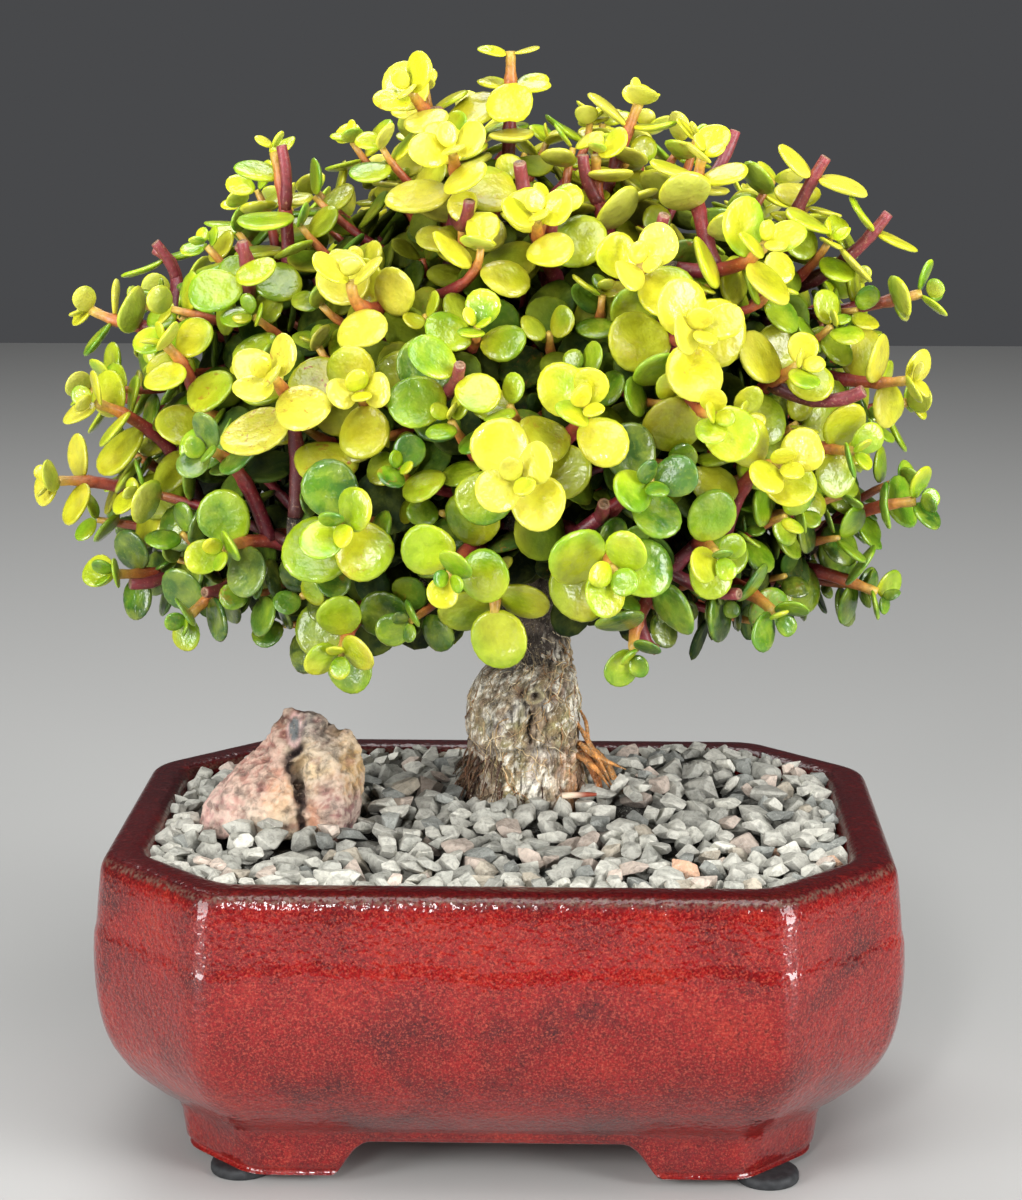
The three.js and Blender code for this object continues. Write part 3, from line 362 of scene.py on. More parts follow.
class Skin:
    """Gathers the points, faces, colours, materials and spots of one piece."""

    def __init__(self):
        self.points, self.faces, self.colors, self.kinds, self.spots, self.count = [], [], [], [], [], 0

    def add(self, points, faces, colors, kind=0, spots=0.0):
        points = np.asarray(points, dtype=float)
        colors = np.broadcast_to(np.asarray(colors, dtype=float), (len(points), 3))
        self.faces.extend(tuple(i + self.count for i in face) for face in faces)
        self.kinds.extend([kind] * len(faces))
        self.points.append(points)
        self.colors.append(colors)
        self.spots.append(np.full(len(points), spots))
        self.count += len(points)


def make_piece(name, skin, materials, nodes=(), smooth=True):
    """One piece on the root body: its mesh, colours, materials and the CAD nodes that it stands for."""
    mesh = bpy.data.meshes.new(name)
    points = to_frame(np.concatenate(skin.points))
    mesh.from_pydata(points.tolist(), [], skin.faces)
    mesh.update()
    tone = mesh.color_attributes.new("tone", "FLOAT_COLOR", "POINT")
    rgba = np.ones((len(points), 4), dtype=np.float32)
    rgba[:, :3] = np.concatenate(skin.colors)
    tone.data.foreach_set("color", rgba.ravel())
    spots = np.concatenate(skin.spots)
    if spots.any():
        mesh.attributes.new("spots", "FLOAT", "POINT").data.foreach_set("value", spots.astype(np.float32))
    if smooth:
        mesh.shade_smooth()
    for material in materials:
        mesh.materials.append(material)
    mesh.polygons.foreach_set("material_index", skin.kinds)
    piece = add_object(name, mesh)
    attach(piece, "root")
    if nodes:
        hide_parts(*nodes)
    return piece


def sweep(points, radii, sides, skin, colors, ridge=None, kind=0):
    """A closed tube along points; colors has one colour for each ring, and ridge shapes each ring."""
    points = np.asarray(points, dtype=float)
    angles = circle(sides)
    side = np.array([1.0, 0.2, 0.1])
    rings = []
    for i, p in enumerate(points):
        along = unit(points[min(i + 1, len(points) - 1)] - points[max(i - 1, 0)])
        side = unit(side - along * side.dot(along))
        other = np.cross(along, side)
        r = radii[i] * (np.array([ridge(a, i) for a in angles]) if ridge else 1)
        rings.append(p + np.outer(np.cos(angles) * r, side) + np.outer(np.sin(angles) * r, other))
    hues = np.repeat(np.asarray(colors, dtype=float), sides, axis=0)
    flat = np.concatenate(rings + [points[:1], points[-1:]])
    skin.add(flat, closed_faces(len(points), sides), np.concatenate([hues, hues[:1], hues[-1:]]), kind)


class Paint:
    """A procedural material, and the shader nodes that it is made of."""

    def __init__(self, name):
        self.material = bpy.data.materials.new(name)
        self.material.use_nodes = True
        self.tree = self.material.node_tree
        self.shader = self.tree.nodes["Principled BSDF"]

    def fill(self, target, inputs):
        """Sets sockets by name or place, each to a value or to another node's socket."""
        for key, value in dict(inputs).items():
            if isinstance(value, bpy.types.NodeSocket):
                self.tree.links.new(value, target.inputs[key])
            else:
                target.inputs[key].default_value = value

    def node(self, kind, inputs=(), **settings):
        made = self.tree.nodes.new("ShaderNode" + kind)
        for key, value in settings.items():
            setattr(made, key, value)
        self.fill(made, inputs)
        return made

    def finish(self, color, roughness, others=()):
        self.fill(self.shader, {"Base Color": color, "Roughness": roughness, **dict(others)})
        return self.material

    def place(self, stretch=None):
        place = self.node("TexCoord").outputs["Object"]
        if stretch is None:
            return place
        return self.node("Mapping", {"Vector": place, "Scale": stretch}).outputs[0]

    def grain(self, size_mm, detail=3, rough=0.55, place=None, distortion=0.0):
        """Noise whose features are about size_mm across."""
        inputs = {"Vector": place or self.place(), "Scale": 1 / (size_mm * MM), "Detail": detail,
                  "Roughness": rough, "Distortion": distortion}
        return self.node("TexNoise", inputs).outputs["Fac"]

    def cells(self, size_mm):
        inputs = {"Vector": self.place(), "Scale": 1 / (size_mm * MM)}
        return self.node("TexVoronoi", inputs).outputs["Distance"]

    def ramp(self, factor, *stops):
        """A colour ramp; stops are (position, value) or (position, (r, g, b))."""
        made = self.node("ValToRGB", {"Fac": factor})
        elements = made.color_ramp.elements
        while len(elements) < len(stops):
            elements.new(0.5)
        for element, (position, value) in zip(elements, stops):
            rgb = value if isinstance(value, np.ndarray) else (value,) * 3
            element.position = position
            element.color = (*rgb, 1)
        return made.outputs["Color"]

    def mix(self, factor, a, b, blend="MIX"):
        inputs = {0: factor}
        for key, value in ((6, a), (7, b)):
            inputs[key] = value if isinstance(value, bpy.types.NodeSocket) else (*value, 1)
        return self.node("Mix", inputs, data_type="RGBA", blend_type=blend).outputs[2]

    def dab(self, color, factor, low, high, *rgb):
        """The colour with another over it, as strong as a ramp from low to high makes it."""
        return self.mix(self.ramp(factor, low, high), color, srgb(*rgb))

    def shaded_tone(self, factor, *stops):
        """The mesh's own colour, made darker and lighter by a ramp."""
        tone = self.node("VertexColor", layer_name="tone").outputs["Color"]
        return self.mix(1.0, tone, self.ramp(factor, *stops), "MULTIPLY")

    def math(self, operation, a, b=0.0):
        return self.node("Math", {0: a, 1: b}, operation=operation).outputs[0]

    def share(self, value, low, high):
        """Where a value lies between low and high, from 0 to 1."""
        return self.node("MapRange", {"Value": value, "From Min": low, "From Max": high}).outputs[0]

    def bump(self, height, depth_mm, below=None):
        """Relief on the shader, and on top of an earlier relief where one is given."""
        inputs = {"Height": height, "Distance": depth_mm * MM, "Strength": 1.0}
        if below:
            inputs["Normal"] = below
        normal = self.node("Bump", inputs).outputs["Normal"]
        self.fill(self.shader, {"Normal": normal})
        return normal


# ---------------------------------------------------------------- pot, pads, screens and soil

FOOT = SimpleNamespace(inset=16.8, lip=1.1, blend_top=16)
ARCH_FRONT = ([0, 29.3, 31, 33, 34.6, 36.6, 37.8, 39], [11.3, 11.3, 10.9, 9.4, 7.4, 4.4, 2.9, 2.5])
ARCH_SIDE = ([0, 11.3, 13, 15, 16.6, 18.6, 19.8, 21], ARCH_FRONT[1])
INNER_WALL = ((60, 11.5), (50, 11.8), (28, 14.5), (POT.floor_z, 25))  # height, inset
RIDGE = SimpleNamespace(height=59.8, spread=1.7, step=0.4, low=56, high=75, fade=8, wander=0.8)


def pot_plan(inset, rounding, z, counts=(12, 60, 110), arc=6):
    """Points round the pot's plan: cut corners, each bend an arc, inset from the rim."""
    x, y = POT.rim_length / 2 - inset, POT.rim_width / 2 - inset
    cut = POT.chamfer - inset * (2 - math.sqrt(2))
    corners = np.array([(x - cut, -y), (x, cut - y), (x, y - cut), (x - cut, y),
                        (cut - x, y), (-x, y - cut), (-x, cut - y), (cut - x, -y)])
    tangent = rounding * math.tan(math.pi / 8)
    steps = [counts[0], counts[1], counts[0], counts[2]] * 2
    plan = []
    for i, corner in enumerate(corners):
        following = corners[(i + 1) % 8]
        back = unit(corners[i - 1] - corner)
        on = unit(following - corner)
        centre = corner + unit(back + on) * rounding / math.cos(math.pi / 8)
        start = corner + back * tangent - centre
        for k in range(arc):
            plan.append(centre + Matrix.Rotation(math.pi / 4 * k / arc, 2) @ Vector(start))
        bend_end = corner + on * tangent
        next_start = following - on * tangent
        for k in range(steps[i]):
            plan.append(lerp(bend_end, next_start, k / steps[i]))
    plan = np.array([tuple(p) for p in plan])
    return np.column_stack([plan, np.broadcast_to(z, len(plan))])


def plan_with_insets(insets, rounding=POT.rounding_body):
    """The plan with an inset of its own for every point."""
    low, high = float(np.min(insets)), float(np.max(insets))
    inner = pot_plan(high, rounding, 0)
    if high - low < 1e-6:
        return inner
    outer = pot_plan(low, rounding, 0)
    share = ((insets - low) / (high - low))[:, None]
    return lerp(outer, inner, share)


def underside(x, y):
    """Height of the pot's underside: four feet with arches between them."""
    return np.maximum(np.interp(abs(x), *ARCH_FRONT), np.interp(abs(y), *ARCH_SIDE))


def smooth_profile(points, step):
    """Evenly spaced points on a smooth curve through (z, inset) pairs."""
    curve = smooth_run(points, 24)
    length = np.concatenate([[0], np.cumsum(np.linalg.norm(np.diff(curve, axis=0), axis=1))])
    places = np.linspace(0, length[-1], round(length[-1] / step) + 1)
    return np.column_stack([np.interp(places, length, curve[:, k]) for k in (0, 1)])


def foot_inset(z):
    rising = np.array(POT_WALL[:9])
    return np.interp(z, rising[:, 0], rising[:, 1])


def ridge_step(ring):
    """How far the wall is set in above the soft ridge that runs round it, for each point."""
    x, y, z = ring.T
    wander = RIDGE.wander * (np.sin(x / 13 + 1) + 0.6 * np.sin(x / 5.1 + y / 6.3))
    above = smoothstep(RIDGE.height - RIDGE.spread, RIDGE.height + RIDGE.spread, z + wander)
    return RIDGE.step * above * (1 - smoothstep(RIDGE.high - RIDGE.fade, RIDGE.high, z))


def ring_at(insets, z, rounding=POT.rounding_body):
    ring = plan_with_insets(insets, rounding)
    ring[:, 2] = z
    return ring


def pot_rows():
    """The rows of the pot's skin: from the middle of its underside, over the rim and down to the floor."""
    lip = FOOT.lip
    edge = pot_plan(FOOT.inset + lip, POT.rounding_body, 0)
    rows = []
    for share in np.linspace(0.02, 1, 44):
        ring = edge * (share, share, 1)
        ring[:, 2] = underside(ring[:, 0], ring[:, 1])
        rows.append(ring)
    base = underside(edge[:, 0], edge[:, 1])
    for angle in np.linspace(0.25, 1, 4) * math.pi / 2:
        inset = lerp(FOOT.inset + lip, foot_inset(base) + 0.1, math.sin(angle))
        rows.append(ring_at(inset, base + lip * (1 - math.cos(angle))))
    for share in np.linspace(0.12, 1, 9):
        z = lerp(base + lip, FOOT.blend_top, share)
        rows.append(ring_at(foot_inset(z), z))
    for z, inset in smooth_profile(POT_WALL, 1.0):
        if z <= FOOT.blend_top + 0.6 and inset >= 10:
            continue
        rounding = lerp(POT.rounding_body, POT.rounding_rim, float(smoothstep(60, 76, z)))
        ring = pot_plan(inset, rounding, z)
        if RIDGE.low < z < RIDGE.high and inset < 2:
            ring = ring_at(inset + ridge_step(ring), z, rounding)
        rows.append(ring)
    rows += [pot_plan(inset, POT.rounding_inner, z) for z, inset in INNER_WALL]
    rows += [rows[-1] * (share, share, 1) for share in (0.7, 0.4, 0.1)]
    return rows


def drill_drains(piece):
    """Cuts the two drain holes through the floor."""
    for x in (-POT.drain_x, POT.drain_x):
        drill = Skin()
        sweep([(x, 0, 8), (x, 0, 21)], [POT.drain_radius] * 2, 32, drill, [(0.1, 0.02, 0.02)] * 2)
        mesh = bpy.data.meshes.new("drill")
        mesh.from_pydata(to_frame(drill.points[0]).tolist(), [], drill.faces)
        tool = add_object("drill", mesh)
        cut = piece.modifiers.new("drain", "BOOLEAN")
        cut.object = tool
        cut.operation = "DIFFERENCE"
        cut.solver = "EXACT"
        graph = bpy.context.evaluated_depsgraph_get()
        graph.update()
        done = bpy.data.meshes.new_from_object(piece.evaluated_get(graph), preserve_all_data_layers=True,
                                               depsgraph=graph)
        piece.modifiers.clear()
        piece.data = done
        bpy.data.objects.remove(tool)


def glaze_material():
    """Speckled red glaze: darker clouds and foot, a brown rim with a worn edge, and a dimpled glassy coat."""
    paint = Paint("glaze")
    height = paint.node("SeparateXYZ", {0: paint.place()}).outputs["Z"]  # metres
    speck = paint.grain(0.8, 4, 0.8)
    cloud = paint.grain(19, 5, 0.6, distortion=0.4)
    body = paint.ramp(cloud, (0.33, srgb(78, 8, 15)), (0.46, srgb(112, 6, 11)), (0.57, srgb(126, 9, 12)),
                      (0.7, srgb(140, 30, 19)))
    dark = paint.ramp(speck, (0.3, srgb(96, 50, 56)), (0.47, srgb(208, 188, 190)), (0.6, srgb(255, 255, 255)))
    color = paint.mix(0.9, body, dark, "MULTIPLY")
    pale = paint.ramp(paint.grain(0.55, 3, 0.8), (0.5, 0.0), (0.64, 1.0))
    color = paint.mix(paint.math("MULTIPLY", pale, 0.42), color, srgb(188, 82, 62))
    low = paint.ramp(paint.share(height, 0.003, 0.021), (0.0, 0.55), (1.0, 0.0))
    pool = paint.ramp(paint.grain(9, 4), (0.42, 0.0), (0.66, 1.0))
    color = paint.mix(paint.math("MULTIPLY", low, pool), color, srgb(70, 18, 24))
    wander = paint.math("MULTIPLY", paint.math("SUBTRACT", paint.grain(3, 3), 0.5), 0.9)
    near_rim = paint.math("ADD", paint.share(height, 0.0705, 0.0765), wander)
    rim = paint.ramp(speck, (0.35, srgb(40, 9, 11)), (0.6, srgb(80, 15, 17)), (0.75, srgb(102, 34, 30)))
    color = paint.mix(paint.ramp(near_rim, (0.55, 0.0), (0.95, 1.0)), color, rim)
    edge = paint.ramp(paint.share(height, 0.0742, 0.0778), (0.0, 0.0), (0.2, 0.0), (0.42, 1.0), (0.6, 1.0),
                      (0.78, 0.0))
    worn = paint.ramp(paint.grain(0.9, 3), (0.42, 0.0), (0.62, 1.0))
    edge_mask = paint.math("MULTIPLY", paint.math("MULTIPLY", edge, worn), 0.7)
    color = paint.mix(edge_mask, color, srgb(98, 78, 66))
    ripple = paint.bump(paint.grain(14, 2), 0.5)
    dimples = paint.bump(paint.grain(1.5, 1, 0.4), 0.25, below=ripple)
    paint.bump(paint.grain(0.8, 3, 0.62), 0.12, below=dimples)
    return paint.finish(color, paint.ramp(speck, (0.3, 0.26), (0.7, 0.4)), {
        "Coat Weight": paint.ramp(paint.share(height, 0.0715, 0.0745), (0.0, 0.9), (1.0, 0.38)),
        "Coat Roughness": 0.06, "Specular IOR Level": 0.12, "Coat Normal": dimples,
    })


def add_pot():
    rows = pot_rows()
    points = np.vstack([*rows, rows[0].mean(axis=0), rows[-1].mean(axis=0)])
    skin = Skin()
    skin.add(points, closed_faces(len(rows), len(rows[0])), (0.4, 0.05, 0.05))
    drill_drains(make_piece("glazed_pot", skin, [glaze_material()], ["pot"]))


def rubber_material():
    paint = Paint("rubber")
    dust = paint.ramp(paint.grain(2.5, 4), (0.4, srgb(20, 22, 25)), (0.75, srgb(48, 50, 52)))
    paint.bump(paint.grain(0.5, 2), 0.05)
    return paint.finish(dust, 0.72)


def add_pads():
    """A rubber bumper with a rounded edge under each foot."""
    rubber = rubber_material()
    r, t = PAD.radius, PAD.thickness
    profile = [(r - 0.5, 0), (r - 0.15, 0.12), (r, 0.5), (r - 0.05, t - 0.9), (r - 0.3, t - 0.35),
               (r - 0.8, t - 0.04), (r - 1.6, t)]
    angles = circle(48)
    round_it = np.column_stack([np.cos(angles), np.sin(angles), np.zeros(len(angles))])
    for name, (x, y) in PADS.items():
        rings = [(x, y, z) + radius * round_it for radius, z in profile]
        skin = Skin()
        points = np.vstack(rings + [[(x, y, 0), (x, y, t)]])
        skin.add(points, closed_faces(len(rings), len(angles)), (0.03, 0.03, 0.03))
        make_piece("bumper_" + name.removeprefix("pad_"), skin, [rubber], [name])


def screen_material():
    paint = Paint("screen_mesh")
    return paint.finish(paint.ramp(paint.grain(1.5), (0.35, srgb(22, 26, 28)), (0.7, srgb(44, 48, 50))), 0.6)


def add_screens():
    """Plastic mesh over each drain hole: square wires in two layers."""
    material = screen_material()
    half = SCREEN.side / 2
    across = np.linspace(SCREEN.wire / 2 - half, half - SCREEN.wire / 2, SCREEN.wires)
    for name, x in (("drain_screen_left", -POT.drain_x), ("drain_screen_right", POT.drain_x)):
        skin = Skin()
        for offset in across:
            add_bar(skin, (x, offset, POT.floor_z), half, SCREEN.wire / 2)
            add_bar(skin, (x + offset, 0, POT.floor_z + SCREEN.upper), SCREEN.wire / 2, half)
        make_piece(name + "_mesh", skin, [material], [name], smooth=False)


def add_bar(skin, base, half_x, half_y):
    x, y, z = base
    points = [(x + sx * half_x, y + sy * half_y, z + up) for up in (0, SCREEN.bar_height)
              for sx, sy in ((-1, -1), (1, -1), (1, 1), (-1, 1))]
    faces = [(0, 3, 2, 1), (4, 5, 6, 7)] + [(i, (i + 1) % 4, (i + 1) % 4 + 4, i + 4) for i in range(4)]
    skin.add(points, faces, (0.04, 0.04, 0.05))


def dress_soil():
    """The CAD's soil keeps its shape and gets a crumbly material."""
    paint = Paint("planting_mix")
    crumbs = paint.grain(2.2, 5, 0.7)
    paint.bump(crumbs, 1.2)
    color = paint.ramp(crumbs, (0.35, srgb(36, 28, 22)), (0.55, srgb(74, 58, 44)), (0.72, srgb(128, 108, 88)))
    material = paint.finish(color, 0.95)
    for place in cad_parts["soil"].material_slots:
        place.material = material


# ---------------------------------------------------------------- gravel

# The height map that chips land on, what stands in it already, and the bed of fines below them.
BED = SimpleNamespace(step=0.5, half_x=84, half_y=59, inset=10.4, depth=9.5, taken=140, fines=6.5,
                      fines_inset=11.4, bottom=70)
TRUNK_FOOT = SimpleNamespace(centre=(5, 20), radius=15.2)
ROCK_FOOT = SimpleNamespace(centre=(-55, -4.5), half_x=19.5, half_y=11, half_sum=26)
CHIP = SimpleNamespace(shapes=32, planes=11, blank=2.3, join=0.06, wear=0.075, tilt=math.radians(44),
                       sink=0.45, proud=1.9, most=3200, misses=1100, large_misses=700, large=(2.9, 5.6),
                       small=(2.4, 3.4), small_inset=8)
# stones heaped against the trunk's foot and the rock: x, y, their half widths, and the rise
HEAPS = [(4, 1, 19, 6, 3.0), (31, 9, 7, 7, 5.0), (-56, -21, 20, 6, 3.8), (-30, -4, 8, 10, 1.6)]
CHIP_COLORS = [  # with the share of the chips that have it
    (srgb(190, 188, 177), 0.36), (srgb(176, 175, 165), 0.26), (srgb(204, 202, 190), 0.16),
    (srgb(150, 152, 146), 0.1), (srgb(200, 184, 170), 0.07), (srgb(188, 178, 160), 0.04),
    (srgb(200, 160, 132), 0.01),
]


def chip_shape(rng):
    """A broken stone of unit size: the planes that bound it, and its points and faces with worn edges."""
    k = np.arange(CHIP.planes) + 0.5
    height = 1 - 2 * k / CHIP.planes
    around = GOLDEN_TURN * k
    level = np.sqrt(1 - height ** 2)
    normals = np.column_stack([level * np.cos(around), level * np.sin(around), height])
    normals += rng.normal(0, 0.3, normals.shape)
    normals /= np.linalg.norm(normals, axis=1)[:, None]
    offsets = rng.uniform(0.6, 0.98, CHIP.planes)
    stone = bmesh.new()
    bmesh.ops.create_cube(stone, size=CHIP.blank)
    for normal, offset in zip(normals, offsets):
        whole = stone.verts[:] + stone.edges[:] + stone.faces[:]
        cut = bmesh.ops.bisect_plane(stone, geom=whole, dist=1e-5, plane_co=normal * offset, plane_no=normal,
                                     clear_outer=True)
        rim = [piece for piece in cut["geom_cut"] if isinstance(piece, bmesh.types.BMEdge)]
        if rim:
            bmesh.ops.edgeloop_fill(stone, edges=rim)
    bmesh.ops.remove_doubles(stone, verts=stone.verts[:], dist=CHIP.join)
    bmesh.ops.bevel(stone, geom=stone.edges[:], offset=CHIP.wear, segments=1, affect="EDGES",
                    clamp_overlap=True)
    bmesh.ops.recalc_face_normals(stone, faces=stone.faces[:])
    stone.verts.index_update()
    points = np.array([vert.co for vert in stone.verts])
    faces = [[vert.index for vert in face.verts] for face in stone.faces]
    stone.free()
    return normals, offsets, points, faces


def turned(rng, tilt):
    """A random turn about Z after a random tilt of up to the given angle."""
    turns = [Matrix.Rotation(rng.uniform(low, high), 3, axis)
             for low, high, axis in ((0, 2 * math.pi, "Z"), (-tilt, tilt, "X"), (-tilt, tilt, "Y"))]
    return np.array(turns[0] @ (turns[1] @ turns[2]))


def gravel_height(x, y):
    height = np.full(np.shape(x), GRAVEL_TOP, dtype=float)
    for cx, cy, sx, sy, rise in MOUNDS + HEAPS:
        height += rise * np.exp(-(((x - cx) / sx) ** 2) - ((y - cy) / sy) ** 2)
    return height


def inside_pot(x, y, inset):
    """True within the pot's plan at the inset given."""
    half_x, half_y = POT.rim_length / 2 - inset, POT.rim_width / 2 - inset
    cut = POT.chamfer - inset * (2 - math.sqrt(2))
    return (abs(x) < half_x) & (abs(y) < half_y) & (abs(x) + abs(y) < half_x + half_y - cut)


def bare_bed():
    """The height map before any chip lands: its places, the height that chips fill it to, and its ground."""
    xs = np.arange(-BED.half_x, BED.half_x + 0.1, BED.step)
    ys = np.arange(-BED.half_y, BED.half_y + 0.1, BED.step)
    gx, gy = np.meshgrid(xs, ys, indexing="ij")
    target = gravel_height(gx, gy)
    ground = target - BED.depth
    taken = np.hypot(gx - TRUNK_FOOT.centre[0], gy - TRUNK_FOOT.centre[1]) < TRUNK_FOOT.radius
    rx, ry = abs(gx - ROCK_FOOT.centre[0]), abs(gy - ROCK_FOOT.centre[1])
    taken |= (rx < ROCK_FOOT.half_x) & (ry < ROCK_FOOT.half_y) & (rx + ry < ROCK_FOOT.half_sum)
    ground[taken] = BED.taken
    return gx, gy, target, ground


def chip_faces(planes, offsets, dx, dy):
    """Heights of a chip's top and bottom over the places dx, dy, above its own middle."""
    side = planes[:, 0, None, None] * dx + planes[:, 1, None, None] * dy
    limit = (offsets[:, None, None] - side) / planes[:, 2, None, None]
    up = (planes[:, 2] > 0)[:, None, None]
    return np.where(up, limit, np.inf).min(axis=0), np.where(up, -np.inf, limit).max(axis=0)


def add_gravel():
    """Chips dropped one by one onto a height map, so that each lies on those below it."""
    rng = np.random.default_rng(41)
    shapes = [chip_shape(rng) for _ in range(CHIP.shapes)]
    gx, gy, target, ground = bare_bed()
    owner = np.full(gx.shape, -1)

    def cell(x, y):
        return int((x + BED.half_x) / BED.step), int((y + BED.half_y) / BED.step)

    chips = []
    misses = 0
    while misses < CHIP.misses and len(chips) < CHIP.most:
        x, y = rng.uniform(2 - BED.half_x, BED.half_x - 2), rng.uniform(2 - BED.half_y, BED.half_y - 2)
        small = misses >= CHIP.large_misses
        size = rng.uniform(*(CHIP.small if small else CHIP.large))
        scale = np.array([size, size * rng.uniform(0.6, 0.88), size * rng.uniform(0.42, 0.7)])
        normals, offsets, points, faces = shapes[int(rng.integers(len(shapes)))]
        turn = turned(rng, CHIP.tilt)
        if not inside_pot(x, y, BED.inset + 0.85 * scale[1]):
            continue
        if small and inside_pot(x, y, BED.inset + CHIP.small_inset):
            continue
        i, j = cell(x, y)
        reach = int(size / BED.step) + 1
        window = (slice(max(i - reach, 0), i + reach + 1), slice(max(j - reach, 0), j + reach + 1))
        top, bottom = chip_faces((normals / scale) @ turn.T, offsets, gx[window] - x, gy[window] - y)
        solid = top > bottom
        if not solid.any():
            continue
        rest = (ground[window] - bottom)[solid].max() - CHIP.sink
        if rest + top[solid].max() > target[window][solid].mean() + CHIP.proud:
            misses += 1
            continue
        misses = CHIP.large_misses if small else 0
        raised = np.where(solid, rest + top, -np.inf)
        higher = raised > ground[window]
        ground[window] = np.where(higher, raised, ground[window])
        owner[window] = np.where(higher, len(chips), owner[window])
        placed = points * scale @ turn.T + (x, y, rest)
        chips.append((placed, faces, rng.random(), rng.uniform(0.78, 1.2)))

    skin = Skin()
    limits = np.cumsum([weight for _, weight in CHIP_COLORS])
    for i in sorted(set(owner[owner >= 0].tolist())):
        points, faces, pick, shade = chips[i]
        color = CHIP_COLORS[min(int(np.searchsorted(limits, pick)), len(CHIP_COLORS) - 1)][0]
        # Painted shade: the parts of a chip below the gravel's surface are darkened, down to 0.42 at 4.5 mm
        # below it.
        depth = points[:, 2] - gravel_height(points[:, 0], points[:, 1])
        painted_shade = lerp(0.42, 1.0, smoothstep(-4.5, 0.2, depth))[:, None]
        skin.add(points, faces, color * shade * painted_shade)
    add_fines(skin)
    make_piece("gravel_chips", skin, [gravel_material()], ["gravel"], smooth=False)
    return lambda x, y: float(ground[cell(x, y)])


def add_fines(skin):
    """A dark bed of fines under the chips, closed below."""
    edge = pot_plan(BED.fines_inset, POT.rounding_inner, 0, counts=(3, 12, 18), arc=2)
    rings = []
    for share in np.linspace(0.04, 1, 24):
        ring = edge * (share, share, 1)
        ring[:, 2] = gravel_height(ring[:, 0], ring[:, 1]) - BED.fines
        rings.append(ring)
    rings.append(edge + (0, 0, BED.bottom))
    points = np.vstack(rings + [[(0, 0, gravel_height(0, 0) - BED.fines), (0, 0, BED.bottom)]])
    faces = [face[::-1] for face in closed_faces(len(rings), len(edge))]
    skin.add(points, faces, srgb(40, 38, 34))


def gravel_material():
    paint = Paint("gravel")
    veins = paint.grain(1.6, 5, 0.65, distortion=0.6)
    color = paint.shaded_tone(veins, (0.3, 0.55), (0.5, 0.95), (0.72, 1.18))
    color = paint.dab(color, paint.grain(0.5, 3, 0.7), (0.56, 0.0), (0.72, 0.55), 196, 196, 186)
    rough = paint.bump(paint.grain(1.3, 4, 0.65), 0.5)
    paint.bump(paint.grain(0.35, 2), 0.12, below=rough)
    return paint.finish(color, 0.88, {"Specular IOR Level": 0.3})


# ---------------------------------------------------------------- rock

ROCK_LUMPS = {
    "ramp": [
        (-20, -6, 0), (-13, -12, 0), (5.4, -12.8, 0), (6, -2, 0), (4, 10, 0), (-12, 10, 0), (-19, 4, 0),
        (-19, -3, 7), (-14, -9, 11), (-4, -12.4, 10), (5.2, -12, 9), (4.2, -10.8, 14), (-14.5, 1, 12.5),
        (-7.5, -3, 18.8), (0.4, -8.8, 19.2), (-6, 6, 15.5), (4, 5, 22), (-3.2, 0, 23.5),
    ],
    "knob": [
        (-4, -5, 18), (-2.6, -2, 25.8), (1.2, 0, 30.2), (6, -1, 29.3), (8, 5, 27.4), (0, 7, 24),
        (10, -6, 22), (1, -9, 18), (12, 3, 21), (-3, 5, 18), (5, 0, 11), (11, 0, 27.4),
    ],
    "block": [
        (6.4, -12, 0), (15, -13, 0), (18, -4, 0), (17, 8, 0), (4, 9, 0), (6.4, -13, 9), (16, -12, 11),
        (19.5, -3, 12), (19.5, 5, 13), (13, -9, 19.5), (19.5, -1, 20.5), (16.5, 1, 25), (8, -7.5, 21.5),
        (10, 5, 25.5), (15, 8, 18), (4.4, -6.5, 12), (3, 4, 16),
    ],
}
ROCK_TONES = [  # where on its face, from the middle of its foot: across, up, reach, colour
    (-15, 5, 8, (224, 178, 168)), (-8, 14, 6, (206, 150, 134)), (-5, 6, 5, (236, 218, 194)),
    (-1, 11, 3.5, (214, 154, 108)), (0, 5, 4, (230, 206, 168)), (9, 17, 4.5, (238, 212, 168)),
    (12.5, 12, 4.5, (156, 112, 110)), (9, 5, 4, (208, 152, 118)), (18.5, 16, 3.5, (226, 186, 126)),
    (11, 23, 3.5, (150, 132, 124)), (1, 28, 3, (156, 112, 92)), (5, 26.5, 2.2, (116, 108, 108)),
    (15, 5, 3.5, (150, 114, 112)), (-3, 21, 3.5, (196, 140, 124)), (15, 25, 3, (228, 190, 140)),
]
ROCK_CLEFT = [(4.6, 22), (2.0, 19), (5.0, 13.6), (5.9, 8), (5.9, 1)]
# a grey pebble held in the rock's top
ROCK_PEBBLE = SimpleNamespace(across=3.5, up=25.8, half_width=1.4, half_height=2.7)


